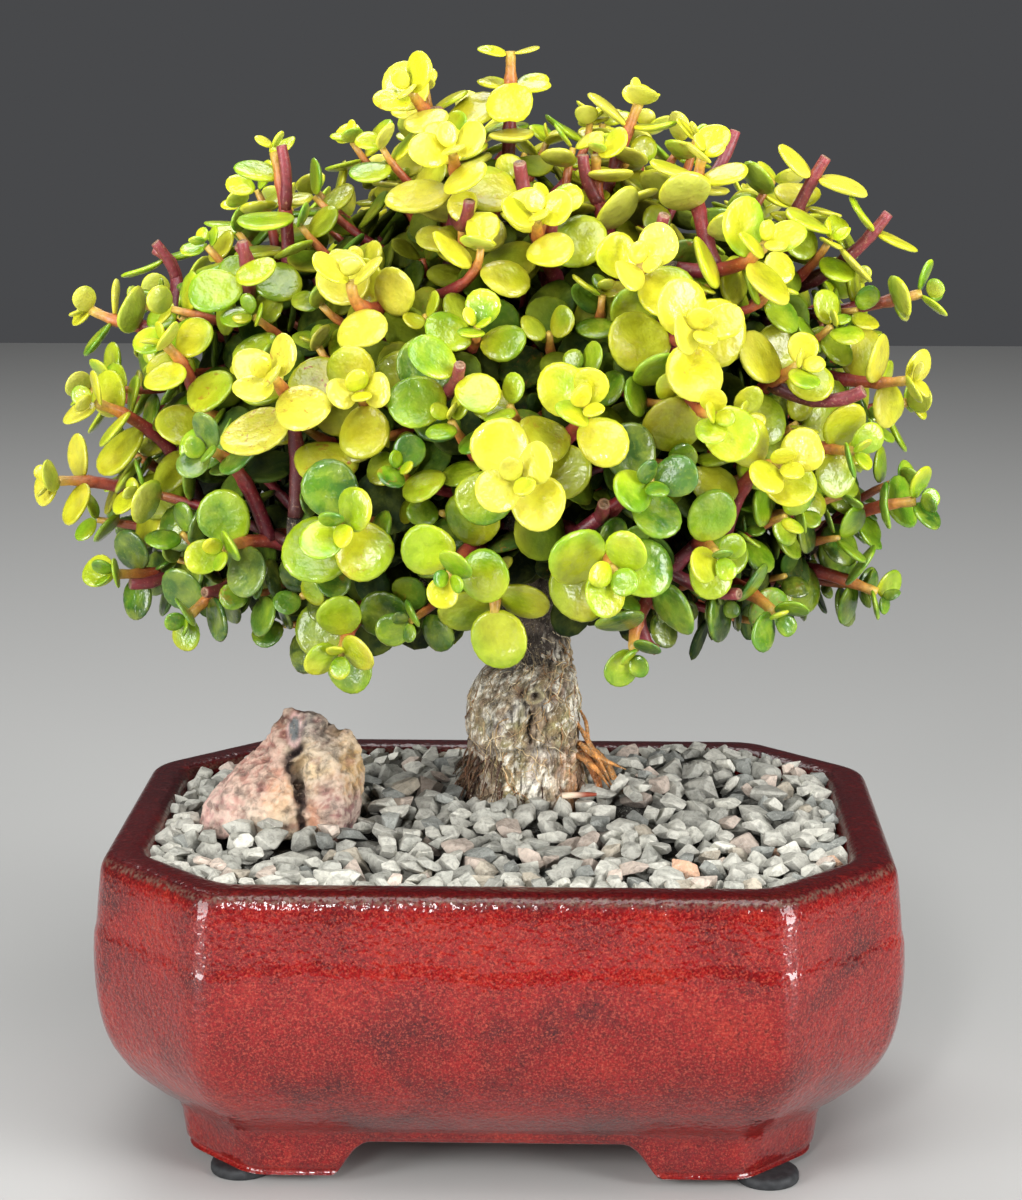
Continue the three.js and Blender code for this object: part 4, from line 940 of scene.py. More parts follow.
def rock_blank():
    """The three lumps of the rock, fused by a fine remesh: points, normals and faces."""
    lumps = bmesh.new()
    for corners in ROCK_LUMPS.values():
        verts = [lumps.verts.new(to_frame(np.array(c) + (*ROCK.centre, ROCK.seat))) for c in corners]
        hull = bmesh.ops.convex_hull(lumps, input=verts)
        loose = {v for v in hull["geom_interior"] + hull["geom_unused"] if isinstance(v, bmesh.types.BMVert)}
        bmesh.ops.delete(lumps, geom=list(loose), context="VERTS")
    mesh = bpy.data.meshes.new("rock_blank")
    lumps.to_mesh(mesh)
    lumps.free()
    blank = add_object("rock_blank", mesh)
    remesh = blank.modifiers.new("fuse", "REMESH")
    remesh.mode = "VOXEL"
    remesh.voxel_size = 0.62 * MM
    soften = blank.modifiers.new("soften", "SMOOTH")
    soften.iterations = 3
    soften.factor = 0.5
    mesh = blank.evaluated_get(bpy.context.evaluated_depsgraph_get()).to_mesh()
    points = np.array([vert.co for vert in mesh.vertices], dtype=float)
    normals = np.array([vert.normal for vert in mesh.vertices], dtype=float)
    faces = [tuple(polygon.vertices) for polygon in mesh.polygons]
    bpy.data.objects.remove(blank)
    return points / MM - POT_CENTRE, normals, faces


def cleft_distance(across, up):
    """How far a spot on the rock's face is from its cleft."""
    found = 99.0
    spot = np.array([across, up])
    for start, end in zip(ROCK_CLEFT, ROCK_CLEFT[1:]):
        start, step = np.array(start), np.array(end) - start
        share = np.clip((spot - start) @ step / (step @ step), 0, 1)
        found = min(found, float(np.linalg.norm(spot - start - share * step)))
    return found


def rock_tone(across, up):
    """The tones of the rock's face, blended at a spot."""
    total, tone = 0.0, np.zeros(3)
    for x, z, reach, shown in ROCK_TONES:
        weight = bell(math.hypot(across - x, up - z), reach) + 1e-6
        total += weight
        tone += weight * srgb(*shown)
    return tone / total


def rock_spot(p, n):
    """How far a point of the rock moves along its normal, and the colour there."""
    across, _, up = p - (*ROCK.centre, ROCK.seat)
    broad = fractal(p * 0.1, 2)
    folds = 1 - abs(fractal(p * (0.17, 0.17, 0.24) + 7, 4)) * 2
    pits = max(0.0, fractal(p * 0.4 + 31, 3) - 0.24)
    fine = fractal(p * 0.8 + 3, 3)
    warp = 1.6 * fractal(p * 0.35 + 45, 3)
    front = smoothstep(0.3, -0.3, n[1])
    cleft = front * bell(cleft_distance(across + warp, up), 0.85)
    hole = front * bell(math.hypot(across - 4.6 + 0.5 * warp, up - 21.6), 1.4)
    off = math.hypot((across - ROCK_PEBBLE.across) / ROCK_PEBBLE.half_width,
                     (up - ROCK_PEBBLE.up) / ROCK_PEBBLE.half_height)
    pebble = front * smoothstep(1.1, 0.8, off)
    seam = front * bell(off - 1.2, 0.22)
    lift = 1.0 * broad + 0.75 * (folds - 0.5) - 1.8 * pits + 0.3 * fine - 1.1 * cleft - 1.5 * hole
    lift += 0.3 * pebble - 0.5 * seam
    if up < 2:
        lift = min(lift, 0.3)
    drift = 3.2 * np.array([fractal(p * 0.2 + 19, 3), fractal(p * 0.2 + 53, 3)])
    color = rock_tone(across + drift[0], up + drift[1])
    color = lerp(color, srgb(140, 86, 82), 0.55 * smoothstep(0.16, 0.5, fractal(p * 0.3 + 77, 4)))
    color = lerp(color, srgb(246, 230, 206), 0.4 * smoothstep(0.35, 0.8, folds + 0.8 * fine))
    hollow = smoothstep(0.0, 0.8, 4 * pits)
    gloom = front * bell(cleft_distance(across + 0.4 * warp, up), 1.1)
    shadow = min(1.0, 0.35 * hollow + 0.95 * gloom + 0.8 * hole)
    color = lerp(0.83 * lerp(color, srgb(46, 30, 26), shadow), srgb(104, 108, 108), pebble)
    return lift, lerp(color, srgb(226, 190, 184), 0.7 * seam)


def add_rock():
    points, normals, faces = rock_blank()
    lifts, colors = zip(*[rock_spot(p, n) for p, n in zip(points, normals)])
    skin = Skin()
    skin.add(points + normals * np.array(lifts)[:, None], faces, colors)
    make_piece("jasper_rock", skin, [rock_material()], ["rock"])


def rock_material():
    paint = Paint("rock")
    veins = paint.grain(3.2, 6, 0.64, distortion=0.45)
    color = paint.shaded_tone(veins, (0.36, 0.52), (0.47, 1.0), (0.62, 1.26))
    color = paint.dab(color, paint.grain(1.2, 5, 0.7), (0.58, 0.0), (0.7, 0.45), 226, 206, 184)
    color = paint.dab(color, paint.grain(2.4, 4, 0.65), (0.6, 0.0), (0.72, 0.35), 168, 104, 58)
    coarse = paint.bump(veins, 1.1)
    facets = paint.bump(paint.cells(2.4), 0.5, below=coarse)
    paint.bump(paint.grain(0.7, 4, 0.75), 0.5, below=facets)
    return paint.finish(color, 0.8)


# ---------------------------------------------------------------- trunk and limbs

KNOT = SimpleNamespace(angle=-82, height=104.6)  # degrees round the trunk, and mm
CRACK = SimpleNamespace(low=91.5, high=101.6, width=0.5, depth=1.9)
BASE_TOP = 124
BASE_AROUND = 220
THREADS = SimpleNamespace(count=120, low=80, high=122, end=76)
FRINGE = SimpleNamespace(count=90, left=60)  # all roots of it, and those at the trunk's lower left
ORANGE_ROOTS = [  # points, radii
    ([(14, 19, 91), (19.5, 15, 88), (22.5, 12, 84), (24.5, 10.5, 78)], [1.9, 1.5, 1.1, 0.7]),
    ([(15, 22, 88), (21.5, 20, 87), (26, 18.5, 83.5), (29, 18, 77)], [1.8, 1.4, 1.0, 0.6]),
    ([(18, 16.5, 87), (21.5, 15.5, 86.5), (24.5, 14, 84), (27, 13, 80)], [1.0, 1.1, 0.8, 0.2]),
    ([(18, 15, 96), (21, 13.5, 91.5), (23.5, 12, 87.5), (25.5, 10.5, 84)], [0.4, 0.7, 0.6, 0.15]),
    ([(18.5, 14, 91), (22, 12.5, 88.5), (26, 12, 86.5), (30.5, 12, 84.5)], [0.6, 0.9, 0.6, 0.12]),
    ([(18, 13, 88), (21.5, 11.5, 86), (24, 10, 84), (26.5, 9, 80.5)], [0.7, 0.8, 0.5, 0.12]),
    ([(19, 15, 99), (20.4, 14.5, 96), (21, 14.2, 92), (21.5, 13, 88)], [0.3, 0.5, 0.5, 0.2]),
]


def leader_at(z):
    table = np.array(LEADER, dtype=float)
    return [np.interp(z, table[:, 2], table[:, k]) for k in (0, 1, 3)]


def trunk_relief(angle, z):
    """The trunk's radius at an angle and height, how deep in a fissure it is there, and the bark's marks."""
    shoulder = 4.6 * bell(off_angle(angle, 196), 0.62)
    shoulder *= smoothstep(100, 108, z) * (1 - smoothstep(117, 123, z))
    radius = leader_at(z - shoulder)[2]
    x, y, _ = Vector((math.cos(angle), math.sin(angle), 0)) * radius
    base = 1 - smoothstep(104, 114, z)
    waves = 5 * angle + 0.05 * z + 1.1 * noise.noise(Vector((x, y, z)) * 0.05)
    ribs = 0.35 * math.sin(waves) * (0.4 + 0.6 * base)
    broad = 1.2 * noise.noise(Vector((x, y, z * 0.55)) * 0.13 + Vector((5, 1, 2)))
    tall = noise.noise(Vector((x * 0.42, y * 0.42, z * 0.085)) + Vector((9, 3, 4)))
    tall += 0.5 * noise.noise(Vector((x * 0.9, y * 0.9, z * 0.2)) + Vector((1, 8, 6)))
    fissure = max(0.0, 1 - abs(tall) * 7.5) ** 1.5
    plates = fractal((x * 0.5, y * 0.5, z * 0.42), 4)
    fine = fractal((x * 1.6, y * 1.6, z * 1.1), 3)
    lift = ribs + broad + 0.42 * plates + 0.16 * fine - 0.85 * fissure
    # horizontal folds in the bark, below the shoulder and near the foot
    fold = bell(z - 111.2 - 1.2 * math.sin(angle * 3), 0.8) * 0.9
    fold += bell(z - 90.3 - 0.8 * math.sin(angle * 4 + 1), 0.7) * 0.55
    lift -= fold
    off = off_angle(angle, KNOT.angle) * radius
    wander = 0.35 * math.sin(z * 0.9) + 0.2 * math.sin(z * 2.3)
    along = smoothstep(CRACK.low, CRACK.low + 1.5, z) * (1 - smoothstep(CRACK.high - 1.5, CRACK.high, z))
    crack = bell(off + 0.6 - wander, CRACK.width) * along
    lift -= CRACK.depth * crack
    ring = math.hypot(off / 1.35, z - KNOT.height)
    hole = bell(ring, 0.8)
    eye = bell(ring - 1.5, 0.5) - 0.8 * bell(ring - 2.5, 0.45)
    lift += 0.6 * eye - 2.2 * hole
    lift += 0.9 * (1 - smoothstep(74, 84, z)) * math.sin(3 * angle + 1.2)
    depth = min(1.0, 0.75 * fissure + fold * 0.7 + crack + 1.3 * hole + max(0.0, -eye) * 0.5)
    brow = bell(off + 2.6 - wander, 0.6) * (smoothstep(98, 100, z) - smoothstep(107, 109, z))
    lift += 0.6 * brow
    marks = (plates, fine, min(1.0, max(0.0, eye) + 0.6 * brow))
    return max(radius + lift, 1.0), depth, marks


def on_trunk(angle, z, radius):
    x, y, _ = leader_at(z)
    return x + radius * math.cos(angle), y + radius * math.sin(angle), z


TONES = SimpleNamespace(
    base=srgb(176, 160, 134), grey=srgb(194, 186, 174), dark=srgb(38, 30, 25), pale=srgb(244, 238, 220),
    moss=srgb(146, 140, 76), rust=srgb(200, 132, 72), brown=srgb(120, 88, 64), deep=srgb(96, 84, 74),
    eye=srgb(212, 204, 150),
)


def bark_color(angle, z, depth, marks):
    plates, fine, raised = marks
    x, y = math.cos(angle) * 8, math.sin(angle) * 8
    color = lerp(TONES.base, TONES.grey, smoothstep(-0.1, 0.35, fractal((x * 0.35, y * 0.35, z * 0.16), 3)))
    mossy = smoothstep(0.05, 0.4, fractal((x * 0.3 + 7, y * 0.3, z * 0.1), 4))
    color = lerp(color, TONES.moss, 0.65 * mossy)
    earthy = smoothstep(0.1, 0.45, fractal((x * 0.4, y * 0.4 + 9, z * 0.2), 4))
    color = lerp(color, TONES.brown, 0.6 * earthy)
    blotch = fractal((x * 0.34 + 3, y * 0.34, z * 0.24), 4)
    color = lerp(color, TONES.brown, 0.55 * smoothstep(0.08, 0.4, -blotch))
    lichen = 1.1 * blotch + 0.8 * plates + 0.7 * fine - 0.6 * depth
    color = lerp(color, TONES.pale, 0.92 * smoothstep(0.02, 0.3, lichen))
    # Painted shade in the fold above the trunk's foot.
    color = lerp(color, TONES.deep, 0.6 * bell(z - 90.5 - 0.8 * math.sin(angle * 4 + 1), 1.6))
    color = lerp(color, TONES.eye, 0.5 * raised)
    low = 1 - smoothstep(84, 95, z)
    right, left = bell(off_angle(angle, -32), 0.4), bell(off_angle(angle, 206), 0.55)
    color = lerp(color, TONES.rust, 0.75 * right * low * smoothstep(-0.25, 0.25, plates + 0.2))
    color = lerp(color, TONES.brown, 0.75 * left * low)
    # Painted shade under the crown: the bark darkens towards the top, above 108 mm, with dark blotches there.
    high = smoothstep(108, 119, z)
    color = lerp(color, TONES.deep, 0.75 * high)
    color = lerp(color, TONES.dark, 0.9 * high * smoothstep(-0.3, 0.15, -blotch - 0.5 * plates))
    # Painted shade: fissures, folds, the crack and the knot's hole are darkened by how deep they are.
    return lerp(color, TONES.dark, min(1.0, depth * 0.95))


def add_trunk_base(skin):
    heights = np.concatenate([np.linspace(62, 76, 6, endpoint=False), np.linspace(76, BASE_TOP, 112)])
    rows, colors = [], []
    for z in heights:
        for angle in circle(BASE_AROUND):
            radius, depth, marks = trunk_relief(angle, z)
            rows.append(on_trunk(angle, z, radius))
            colors.append(bark_color(angle, z, depth, marks))
    points = np.array(rows)
    points = np.vstack([points, points[:BASE_AROUND].mean(axis=0), points[-BASE_AROUND:].mean(axis=0)])
    skin.add(points, closed_faces(len(heights), BASE_AROUND), colors + [colors[0], colors[-1]])


def bark_sweep(skin, points, radii, sides, tone=None, seed=0, rough=0.07):
    """A limb or root with a knobbly skin."""
    colors = []
    for p in points:
        value = smoothstep(-0.3, 0.4, fractal(np.array(p) * 0.3 + seed, 3))
        colors.append(lerp(TONES.dark, TONES.deep, value) if tone is None else tone * lerp(0.6, 1.15, value))

    def knobs(angle, i):
        return 1 + rough * 2.2 * fractal((math.cos(angle) * 1.5 + seed, math.sin(angle) * 1.5, i * 0.45), 3)

    sweep(points, radii, sides, skin, colors, ridge=knobs)


def limb_point(limb, t):
    start, end = np.array(limb[0], dtype=float), np.array(limb[1], dtype=float)
    return bezier(start, (start + end) / 2 - UP * limb[2], end, t)


def limb_radius(limb, t):
    return lerp(limb[3], LIMB_END_RADIUS, t)


def curve_through(points, radii, steps):
    """A smooth run through a few points, with their radii."""
    run = smooth_run(np.column_stack([np.array(points, dtype=float), radii]), steps)
    return run[:, :3], np.maximum(run[:, 3], 0.12)


def add_threads(skin, rng):
    """Thin air roots that cling to the bark."""
    hues = [srgb(222, 196, 150), srgb(196, 164, 118), srgb(232, 216, 182), srgb(174, 128, 84)]
    for i in range(THREADS.count):
        angle = rng.uniform(-math.pi, 0) + rng.normal(0, 0.25) if i % 3 else rng.uniform(0, 2 * math.pi)
        z = rng.uniform(THREADS.low, THREADS.high)
        heading = rng.choice([-1, 1]) * rng.uniform(0.0, 1.4)
        points, thick = [], rng.uniform(0.1, 0.21)
        for _ in range(rng.integers(8, 22)):
            radius = trunk_relief(angle, z)[0] + thick * 0.5
            points.append(on_trunk(angle, z, radius))
            heading += rng.normal(0, 0.5)
            angle += 0.75 * math.sin(heading) / radius
            z -= 0.75 * abs(math.cos(heading)) + 0.1
            if z < THREADS.end:
                break
        if len(points) > 3:
            radii = thick * np.sqrt(np.linspace(1, 0.25, len(points)))
            hue = hues[int(rng.integers(len(hues)))] * rng.uniform(0.7, 1.1)
            sweep(points, radii, 5, skin, [hue] * len(points))


def add_root_fringe(skin, rng):
    """Fibrous roots at the trunk's lower left, and short ones all round its foot."""
    for i in range(FRINGE.count):
        at_left = i < FRINGE.left
        angle = math.radians(rng.normal(208, 20)) if at_left else rng.uniform(0, 2 * math.pi)
        z = rng.uniform(79, 90) if at_left else rng.uniform(78, 82)
        out = np.array([math.cos(angle), math.sin(angle), 0])
        start = np.array(on_trunk(angle, z, trunk_relief(angle, z)[0] - 0.4))
        reach = rng.uniform(1.2, 4.2)
        side = np.array([-out[1], out[0], 0]) * rng.normal(0, 2.2)
        end = start + out * reach + side - UP * min(rng.uniform(2, 8), z - 76)
        middle = (start + end) / 2 + out * rng.uniform(0.4, 1.4) + UP * rng.uniform(0.2, 1.2)
        points = [bezier(start, middle, end, t) for t in np.linspace(0, 1, 9)]
        thick = rng.uniform(0.14, 0.38)
        hue = lerp(srgb(66, 44, 34), srgb(124, 86, 60), rng.random()) * rng.uniform(0.6, 1.1)
        sweep(points, thick * np.linspace(1, 0.4, 9), 5, skin, [hue] * 9)


def add_trunk():
    rng = np.random.default_rng(17)
    skin = Skin()
    add_trunk_base(skin)
    upper = np.array([row for row in LEADER if row[2] >= 112])
    run, girth = curve_through(upper[:, :3], upper[:, 3], 6)
    bark_sweep(skin, run, girth, 36, rough=0.05)
    for i, limb in enumerate(LIMBS):
        ts = np.linspace(0, 1, 13)
        bark_sweep(skin, [limb_point(limb, t) for t in ts], limb_radius(limb, ts), 14, seed=i * 3.7)
    for points, radii in ORANGE_ROOTS:
        run, girth = curve_through(points, radii, 6)
        tone = lerp(srgb(226, 158, 84), srgb(172, 100, 50), rng.random())
        bark_sweep(skin, run, girth, 12, tone=tone, seed=points[0][2], rough=0.13)
    for shoot in SPRINGING:
        ts = np.linspace(0, 1, 5)
        run = [lerp(shoot.anchor.at, shoot.collar_end, t) for t in ts]
        girth = lerp(min(shoot.anchor.radius * 0.8, 2.6), STEM.radius * 1.05, ts)
        bark_sweep(skin, run, girth, 10, seed=shoot.index)
    add_threads(skin, rng)
    add_root_fringe(skin, rng)
    make_piece("gnarled_trunk", skin, [bark_material()], ["trunk"])


def bark_material():
    paint = Paint("bark")
    tall = paint.place((1, 1, 0.45))
    mottle = paint.grain(2.2, 6, 0.72, place=tall, distortion=0.8)
    color = paint.shaded_tone(mottle, (0.3, 0.32), (0.46, 0.92), (0.64, 1.45))
    strands = paint.math("SUBTRACT", paint.grain(2.0, 2, 0.5, place=tall, distortion=2.2), 0.5)
    line = paint.ramp(paint.math("ABSOLUTE", strands), (0.0, 1.0), (0.022, 0.75), (0.05, 0.0))
    patchy = paint.ramp(paint.grain(6, 2), (0.4, 0.0), (0.6, 0.55))
    color = paint.mix(paint.math("MULTIPLY", line, patchy), color, srgb(220, 196, 150))
    color = paint.dab(color, paint.grain(0.7, 3, 0.6), (0.6, 0.0), (0.7, 0.6), 224, 216, 196)
    coarse = paint.bump(mottle, 0.9)
    paint.bump(line, 0.3, below=coarse)
    return paint.finish(color, 0.82)


def add_twig(ground):
    """A dry twig that lies on the gravel beside the trunk."""
    spots = [(14.6, 1.0), (16.6, 1.2), (18.8, 1.5), (21, 1.8), (23.2, 1.8)]
    level = max(ground(x, y) for x, y in spots) + 0.5
    points = [(x, y, level + 0.02 * (x - 20)) for x, y in spots]
    run, girth = curve_through(points, [0.75, 0.8, 0.72, 0.6, 0.4], 5)
    share = np.linspace(0, 1, len(run))[:, None]
    colors = lerp(srgb(226, 204, 178), srgb(140, 62, 40), smoothstep(0.25, 0.75, share))
    skin = Skin()
    sweep(run, girth, 10, skin, colors)
    make_piece("fallen_twig", skin, [twig_material()])


def twig_material():
    paint = Paint("twig")
    streaks = paint.grain(1.2, 4, place=paint.place((0.3, 1, 1)))
    paint.bump(paint.grain(0.5, 3), 0.1)
    return paint.finish(paint.shaded_tone(streaks, (0.3, 0.7), (0.7, 1.15)), 0.45)


# ---------------------------------------------------------------- shoots

STUBS = [  # the end of a pruned branch, and its radius
    ((-59, -25, 218), 1.8), ((-83, 5, 216), 1.5), ((-8, -60, 194), 1.7), ((-15.5, -50, 180), 2.2),
    ((-15, -5, 248), 1.9), ((5, -35, 237), 1.9), ((19, -20, 238), 1.7),
    ((37, -40, 226), 1.7), ((24, -66, 166), 1.8), ((82, -38, 187), 1.9), ((54, -55, 144), 1.7),
    ((12.5, -40, 226), 1.6), ((54, -8, 243), 1.6), ((36, -50, 130), 1.6),
    ((-88, -15, 137), 1.7), ((-67, -38, 140), 1.6), ((-31.5, -45, 176), 1.9), ((-51, -8, 239.5), 1.6),
    ((-6, -40, 229), 1.7), ((-40, 60, 210), 1.9), ((30, 72, 205), 1.8), ((70, 50, 200), 1.9),
    ((-84, 34, 180), 1.8), ((8, 80, 168), 1.7), ((62, 62, 172), 1.8), ((-52, 60, 166), 1.7),
    ((0, 40, 240), 1.8),
]
STEM_TONES = [  # distance behind the tip, colour
    (0, srgb(190, 160, 64)), (4, srgb(184, 122, 52)), (9, srgb(162, 72, 44)), (15, srgb(132, 40, 42)),
    (24, srgb(100, 24, 38)), (38, srgb(74, 26, 28)), (60, srgb(70, 48, 38)),
]
STUB_INDEX, FILL_INDEX = 200, 300  # where the numbers of the pruned branches and of the fill begin
CUT_TONE = srgb(160, 122, 94)
STUB_TONE = srgb(132, 56, 62)
FINE_STEPS = 26
FRONT = np.array([0.0, -1, 0])


def direction(heading, climb):
    """The unit vector with a heading and climb in degrees."""
    h, c = math.radians(heading), math.radians(climb)
    return np.array([math.cos(c) * math.cos(h), math.cos(c) * math.sin(h), math.sin(c)])


def make_anchors():
    """Every place on the limbs and the upper leader where a shoot can spring from."""
    anchors = [SimpleNamespace(at=limb_point(limb, t), radius=limb_radius(limb, t), used=0)
               for limb in LIMBS for t in (0.45, 0.6, 0.86, 1)]
    for x, y, z, radius in LEADER[-3:]:
        anchors.append(SimpleNamespace(at=np.array([x, y, z - 3.0]), radius=radius, used=0))
    return anchors


def stem_point(shoot, t):
    return bezier(shoot.start, shoot.bend, shoot.tip, t)


def lay_stem(shoot):
    """Points along the stem and the axes across it, carried down from the tip."""
    shoot.span = np.linalg.norm(shoot.tip - shoot.start) * 1.05
    ts = np.linspace(0, 1, FINE_STEPS + 1)
    shoot.line = np.array([stem_point(shoot, t) for t in ts])
    along = np.gradient(shoot.line, axis=0)
    shoot.along = along / np.linalg.norm(along, axis=1)[:, None]
    level = np.cross(UP, shoot.pointing)
    if np.linalg.norm(level) < 0.25:
        level = np.array([1.0, 0, 0])
    levels = np.empty_like(shoot.line)
    for i in range(FINE_STEPS, -1, -1):
        level = unit(level - shoot.along[i] * level.dot(shoot.along[i]))
        levels[i] = level
    shoot.levels = levels
    return shoot


def place_on(shoot, distance):
    """Position and axes of the stem at a distance behind its tip."""
    t = max(0.1, 1 - distance / shoot.span)
    i = t * FINE_STEPS
    low = min(int(i), FINE_STEPS - 1)
    share = i - low
    along = unit(lerp(shoot.along[low], shoot.along[low + 1], share))
    level = lerp(shoot.levels[low], shoot.levels[low + 1], share)
    level = unit(level - along * level.dot(along))
    return stem_point(shoot, t), along, level, t


def nearest_anchor(anchors, wanted, crowding):
    return min(anchors, key=lambda one: np.linalg.norm(one.at - wanted) + one.used * crowding)


def grow_rows(anchors):
    """The shoots of the table: each springs from a limb, or forks off the one before it."""
    shoots = []
    for index, (tip, heading, climb, turn, size, tint, pairs, *more) in enumerate(SHOOTS):
        flags, reach = more + ["", STEM.reach][len(more):]
        tip, pointing = np.array(tip, dtype=float), direction(heading, climb)
        shoot = SimpleNamespace(index=index, tip=tip, pointing=pointing, turn=turn, size=size, tint=tint,
                                pairs=pairs, inner=3, cut="c" in flags, fork="f" in flags, kind="row")
        if shoot.fork:
            shoot.start = stem_point(shoots[-1], STEM.fork_at)
        else:
            wanted = tip - pointing * reach + unit(CROWN_CORE - tip) * reach
            shoot.anchor = nearest_anchor(anchors, wanted, STEM.crowding)
            shoot.anchor.used += 1
        origin = shoot.start if shoot.fork else shoot.anchor.at
        shoot.bend = tip - pointing * STEM.bend * np.linalg.norm(tip - origin)
        if not shoot.fork:
            leaving = unit(shoot.bend - shoot.anchor.at)
            shoot.collar_end = shoot.anchor.at + leaving * (shoot.anchor.radius + STEM.collar)
            shoot.start = shoot.collar_end + leaving * CLEARANCE
        shoots.append(lay_stem(shoot))
    return shoots


ANCHORS = make_anchors()
ROWS = grow_rows(ANCHORS)
SPRINGING = [shoot for shoot in ROWS if not shoot.fork]
TIPS = np.array([shoot.tip for shoot in ROWS])
TIP_REACH = np.linalg.norm(TIPS - CROWN_CORE, axis=1)
TIP_WAYS = (TIPS - CROWN_CORE) / TIP_REACH[:, None]
TIP_TINTS = np.array([shoot.tint for shoot in ROWS])


def crown_share(way):
    """Weights of the table's shoots in a direction from the crown's core."""
    weights = np.exp(-((np.arccos(np.clip(TIP_WAYS @ way, -1, 1)) / math.radians(15)) ** 2)) + 1e-9
    return weights / weights.sum()


# ---------------------------------------------------------------- room for leaves


def in_disc(local, limit):
    """True where places are inside a leaf's disc; they are given in its half sizes."""
    return (local[..., 0] ** 2 + local[..., 1] ** 2 < limit) & (abs(local[..., 2]) < 1)


class Crowd:
    """Leaves and stems placed so far, to keep a new leaf clear of them."""

    def __init__(self, room=6000):
        self.centre = np.empty((room, 3))
        self.axes = np.empty((room, 3, 3))
        self.half = np.empty((room, 3))
        self.probes = np.empty((room, 19, 3))
        self.owner = np.empty(room, dtype=int)
        self.pair = np.empty(room, dtype=int)
        self.count = 0
        self.beads = np.empty((0, 3))
        self.bead_radius = np.empty(0)
        self.bead_owner = np.empty(0, dtype=int)

    def add_beads(self, points, radii, owner):
        self.beads = np.vstack([self.beads, points])
        self.bead_radius = np.concatenate([self.bead_radius, np.broadcast_to(radii, len(points))])
        self.bead_owner = np.concatenate([self.bead_owner, np.full(len(points), owner)])

    def add(self, leaf):
        i = self.count
        self.centre[i], self.axes[i], self.half[i] = leaf.centre, leaf.axes, leaf.half
        self.probes[i], self.owner[i], self.pair[i] = leaf.probes, leaf.owner, leaf.pair
        self.count += 1

    def blocked(self, leaf, loose=0.0):
        """True where the leaf would touch another, or a stem that isn't its own."""
        n = self.count
        gap = np.linalg.norm(self.centre[:n] - leaf.centre, axis=1)
        other = (self.owner[:n] != leaf.owner) | (self.pair[:n] != leaf.pair)
        near = np.nonzero((gap < self.half[:n, 0] + leaf.half[0]) & other)[0]
        if len(near):
            limit = 0.93 - loose
            away = leaf.probes[None] - self.centre[near][:, None]
            there = np.einsum("kij,krj->kri", self.axes[near], away) / self.half[near][:, None]
            here = (self.probes[near] - leaf.centre) @ leaf.axes.T / leaf.half
            if in_disc(there, limit).any() or in_disc(here, limit).any():
                return True
        local = (self.beads - leaf.centre) @ leaf.axes.T
        thick = self.bead_radius
        flat = (local[:, 0] / (leaf.half[0] + 0.4 * thick)) ** 2
        flat += (local[:, 1] / (leaf.half[1] + 0.4 * thick)) ** 2
        touched = (flat < 1 - loose) & (abs(local[:, 2]) < leaf.half[2] + thick * 0.9)
        return bool((touched & (self.bead_owner != leaf.owner)).any())

    def pierced(self, points, radius):
        """How many leaves a stem through these points would run into."""
        hit = set()
        n = self.count
        for p in points:
            local = np.einsum("kij,kj->ki", self.axes[:n], p - self.centre[:n])
            flat = (local[:, 0] / self.half[:n, 0]) ** 2 + (local[:, 1] / self.half[:n, 1]) ** 2
            hit.update(np.nonzero((flat < 1) & (abs(local[:, 2]) < self.half[:n, 2] + radius))[0].tolist())
        return len(hit)


def probe_pattern():
    """Places on a leaf's disc that are tested against the other leaves."""
    places = [(0, 0)]
    for share, count in ((0.52, 6), (0.94, 12)):
        for k in range(count):
            angle = 2 * math.pi * k / count
            places.append((share * math.cos(angle), share * math.sin(angle)))
    return np.array(places)


PROBES = probe_pattern()
LEAF = SimpleNamespace(trim=0.93, width=0.94, half_thickness=0.075, length_varies=0.1, turn_varies=12,
                       opening_varies=9, roll=0.4, lift=0.25, front=0.3)
TRIES = [  # extra turn about the stem, extra opening, share of the length
    (0, 0, 1), (10, 0, 1), (-10, 0, 1), (0, 9, 1), (0, -9, 1), (18, 0, 0.97), (-18, 0, 0.97), (10, 12, 0.95),
    (-10, -12, 0.95), (0, 0, 0.88), (26, 8, 0.9), (-26, -8, 0.9), (14, 0, 0.84), (-14, 0, 0.84),
    (0, 16, 0.82), (38, 0, 0.84), (-38, 0, 0.84), (0, -16, 0.76), (24, 10, 0.74), (-24, -10, 0.74),
    (0, 0, 0.66),
]


def leaf_at(shoot, pair, side, distance, length, opening, attempt):
    """A leaf's root, axes (blade, side, face) and the disc that it fills."""
    turn, open_more, shrink = attempt
    at, along, level, t = place_on(shoot, distance)
    upright = np.cross(along, level)
    seed = shoot.index * 20 + pair * 2 + side
    angle = math.radians(shoot.turn + 90 * pair + 180 * side + spread(seed, 1, 0, LEAF.turn_varies) + turn)
    outwards = level * math.cos(angle) + upright * math.sin(angle)
    wide = math.radians(opening + spread(seed, 2, 0, LEAF.opening_varies) + open_more)
    blade = along * math.cos(wide) + outwards * math.sin(wide)
    face = along * math.sin(wide) - outwards * math.cos(wide)
    edgewise = np.cross(blade, face)
    face = face + UP * LEAF.lift + FRONT * LEAF.front + edgewise * spread(seed, 3, 0, LEAF.roll)
    face = unit(face - blade * face.dot(blade))
    across = np.cross(face, blade)
    stem = lerp(STEM.radius, STEM.tip_radius, t) * (1 if pair > -1 else 0.5)
    full = length * shoot.size * LEAF.trim * (1 + spread(seed, 4, 0, LEAF.length_varies)) * shrink
    blade_length = full - stem * 0.75
    root = at + blade * stem * 0.75
    axes = np.array([blade, across, face])
    centre = root + blade * blade_length / 2
    half = blade_length * np.array([1 / 2, LEAF.width / 2, LEAF.half_thickness]) + (0, 0, 0.25)
    flat = np.column_stack([PROBES * half[:2], np.zeros(len(PROBES))])
    return SimpleNamespace(root=root, axes=axes, centre=centre, half=half, length=blade_length,
                           probes=centre + flat @ axes, owner=shoot.index, pair=pair, shoot=shoot)


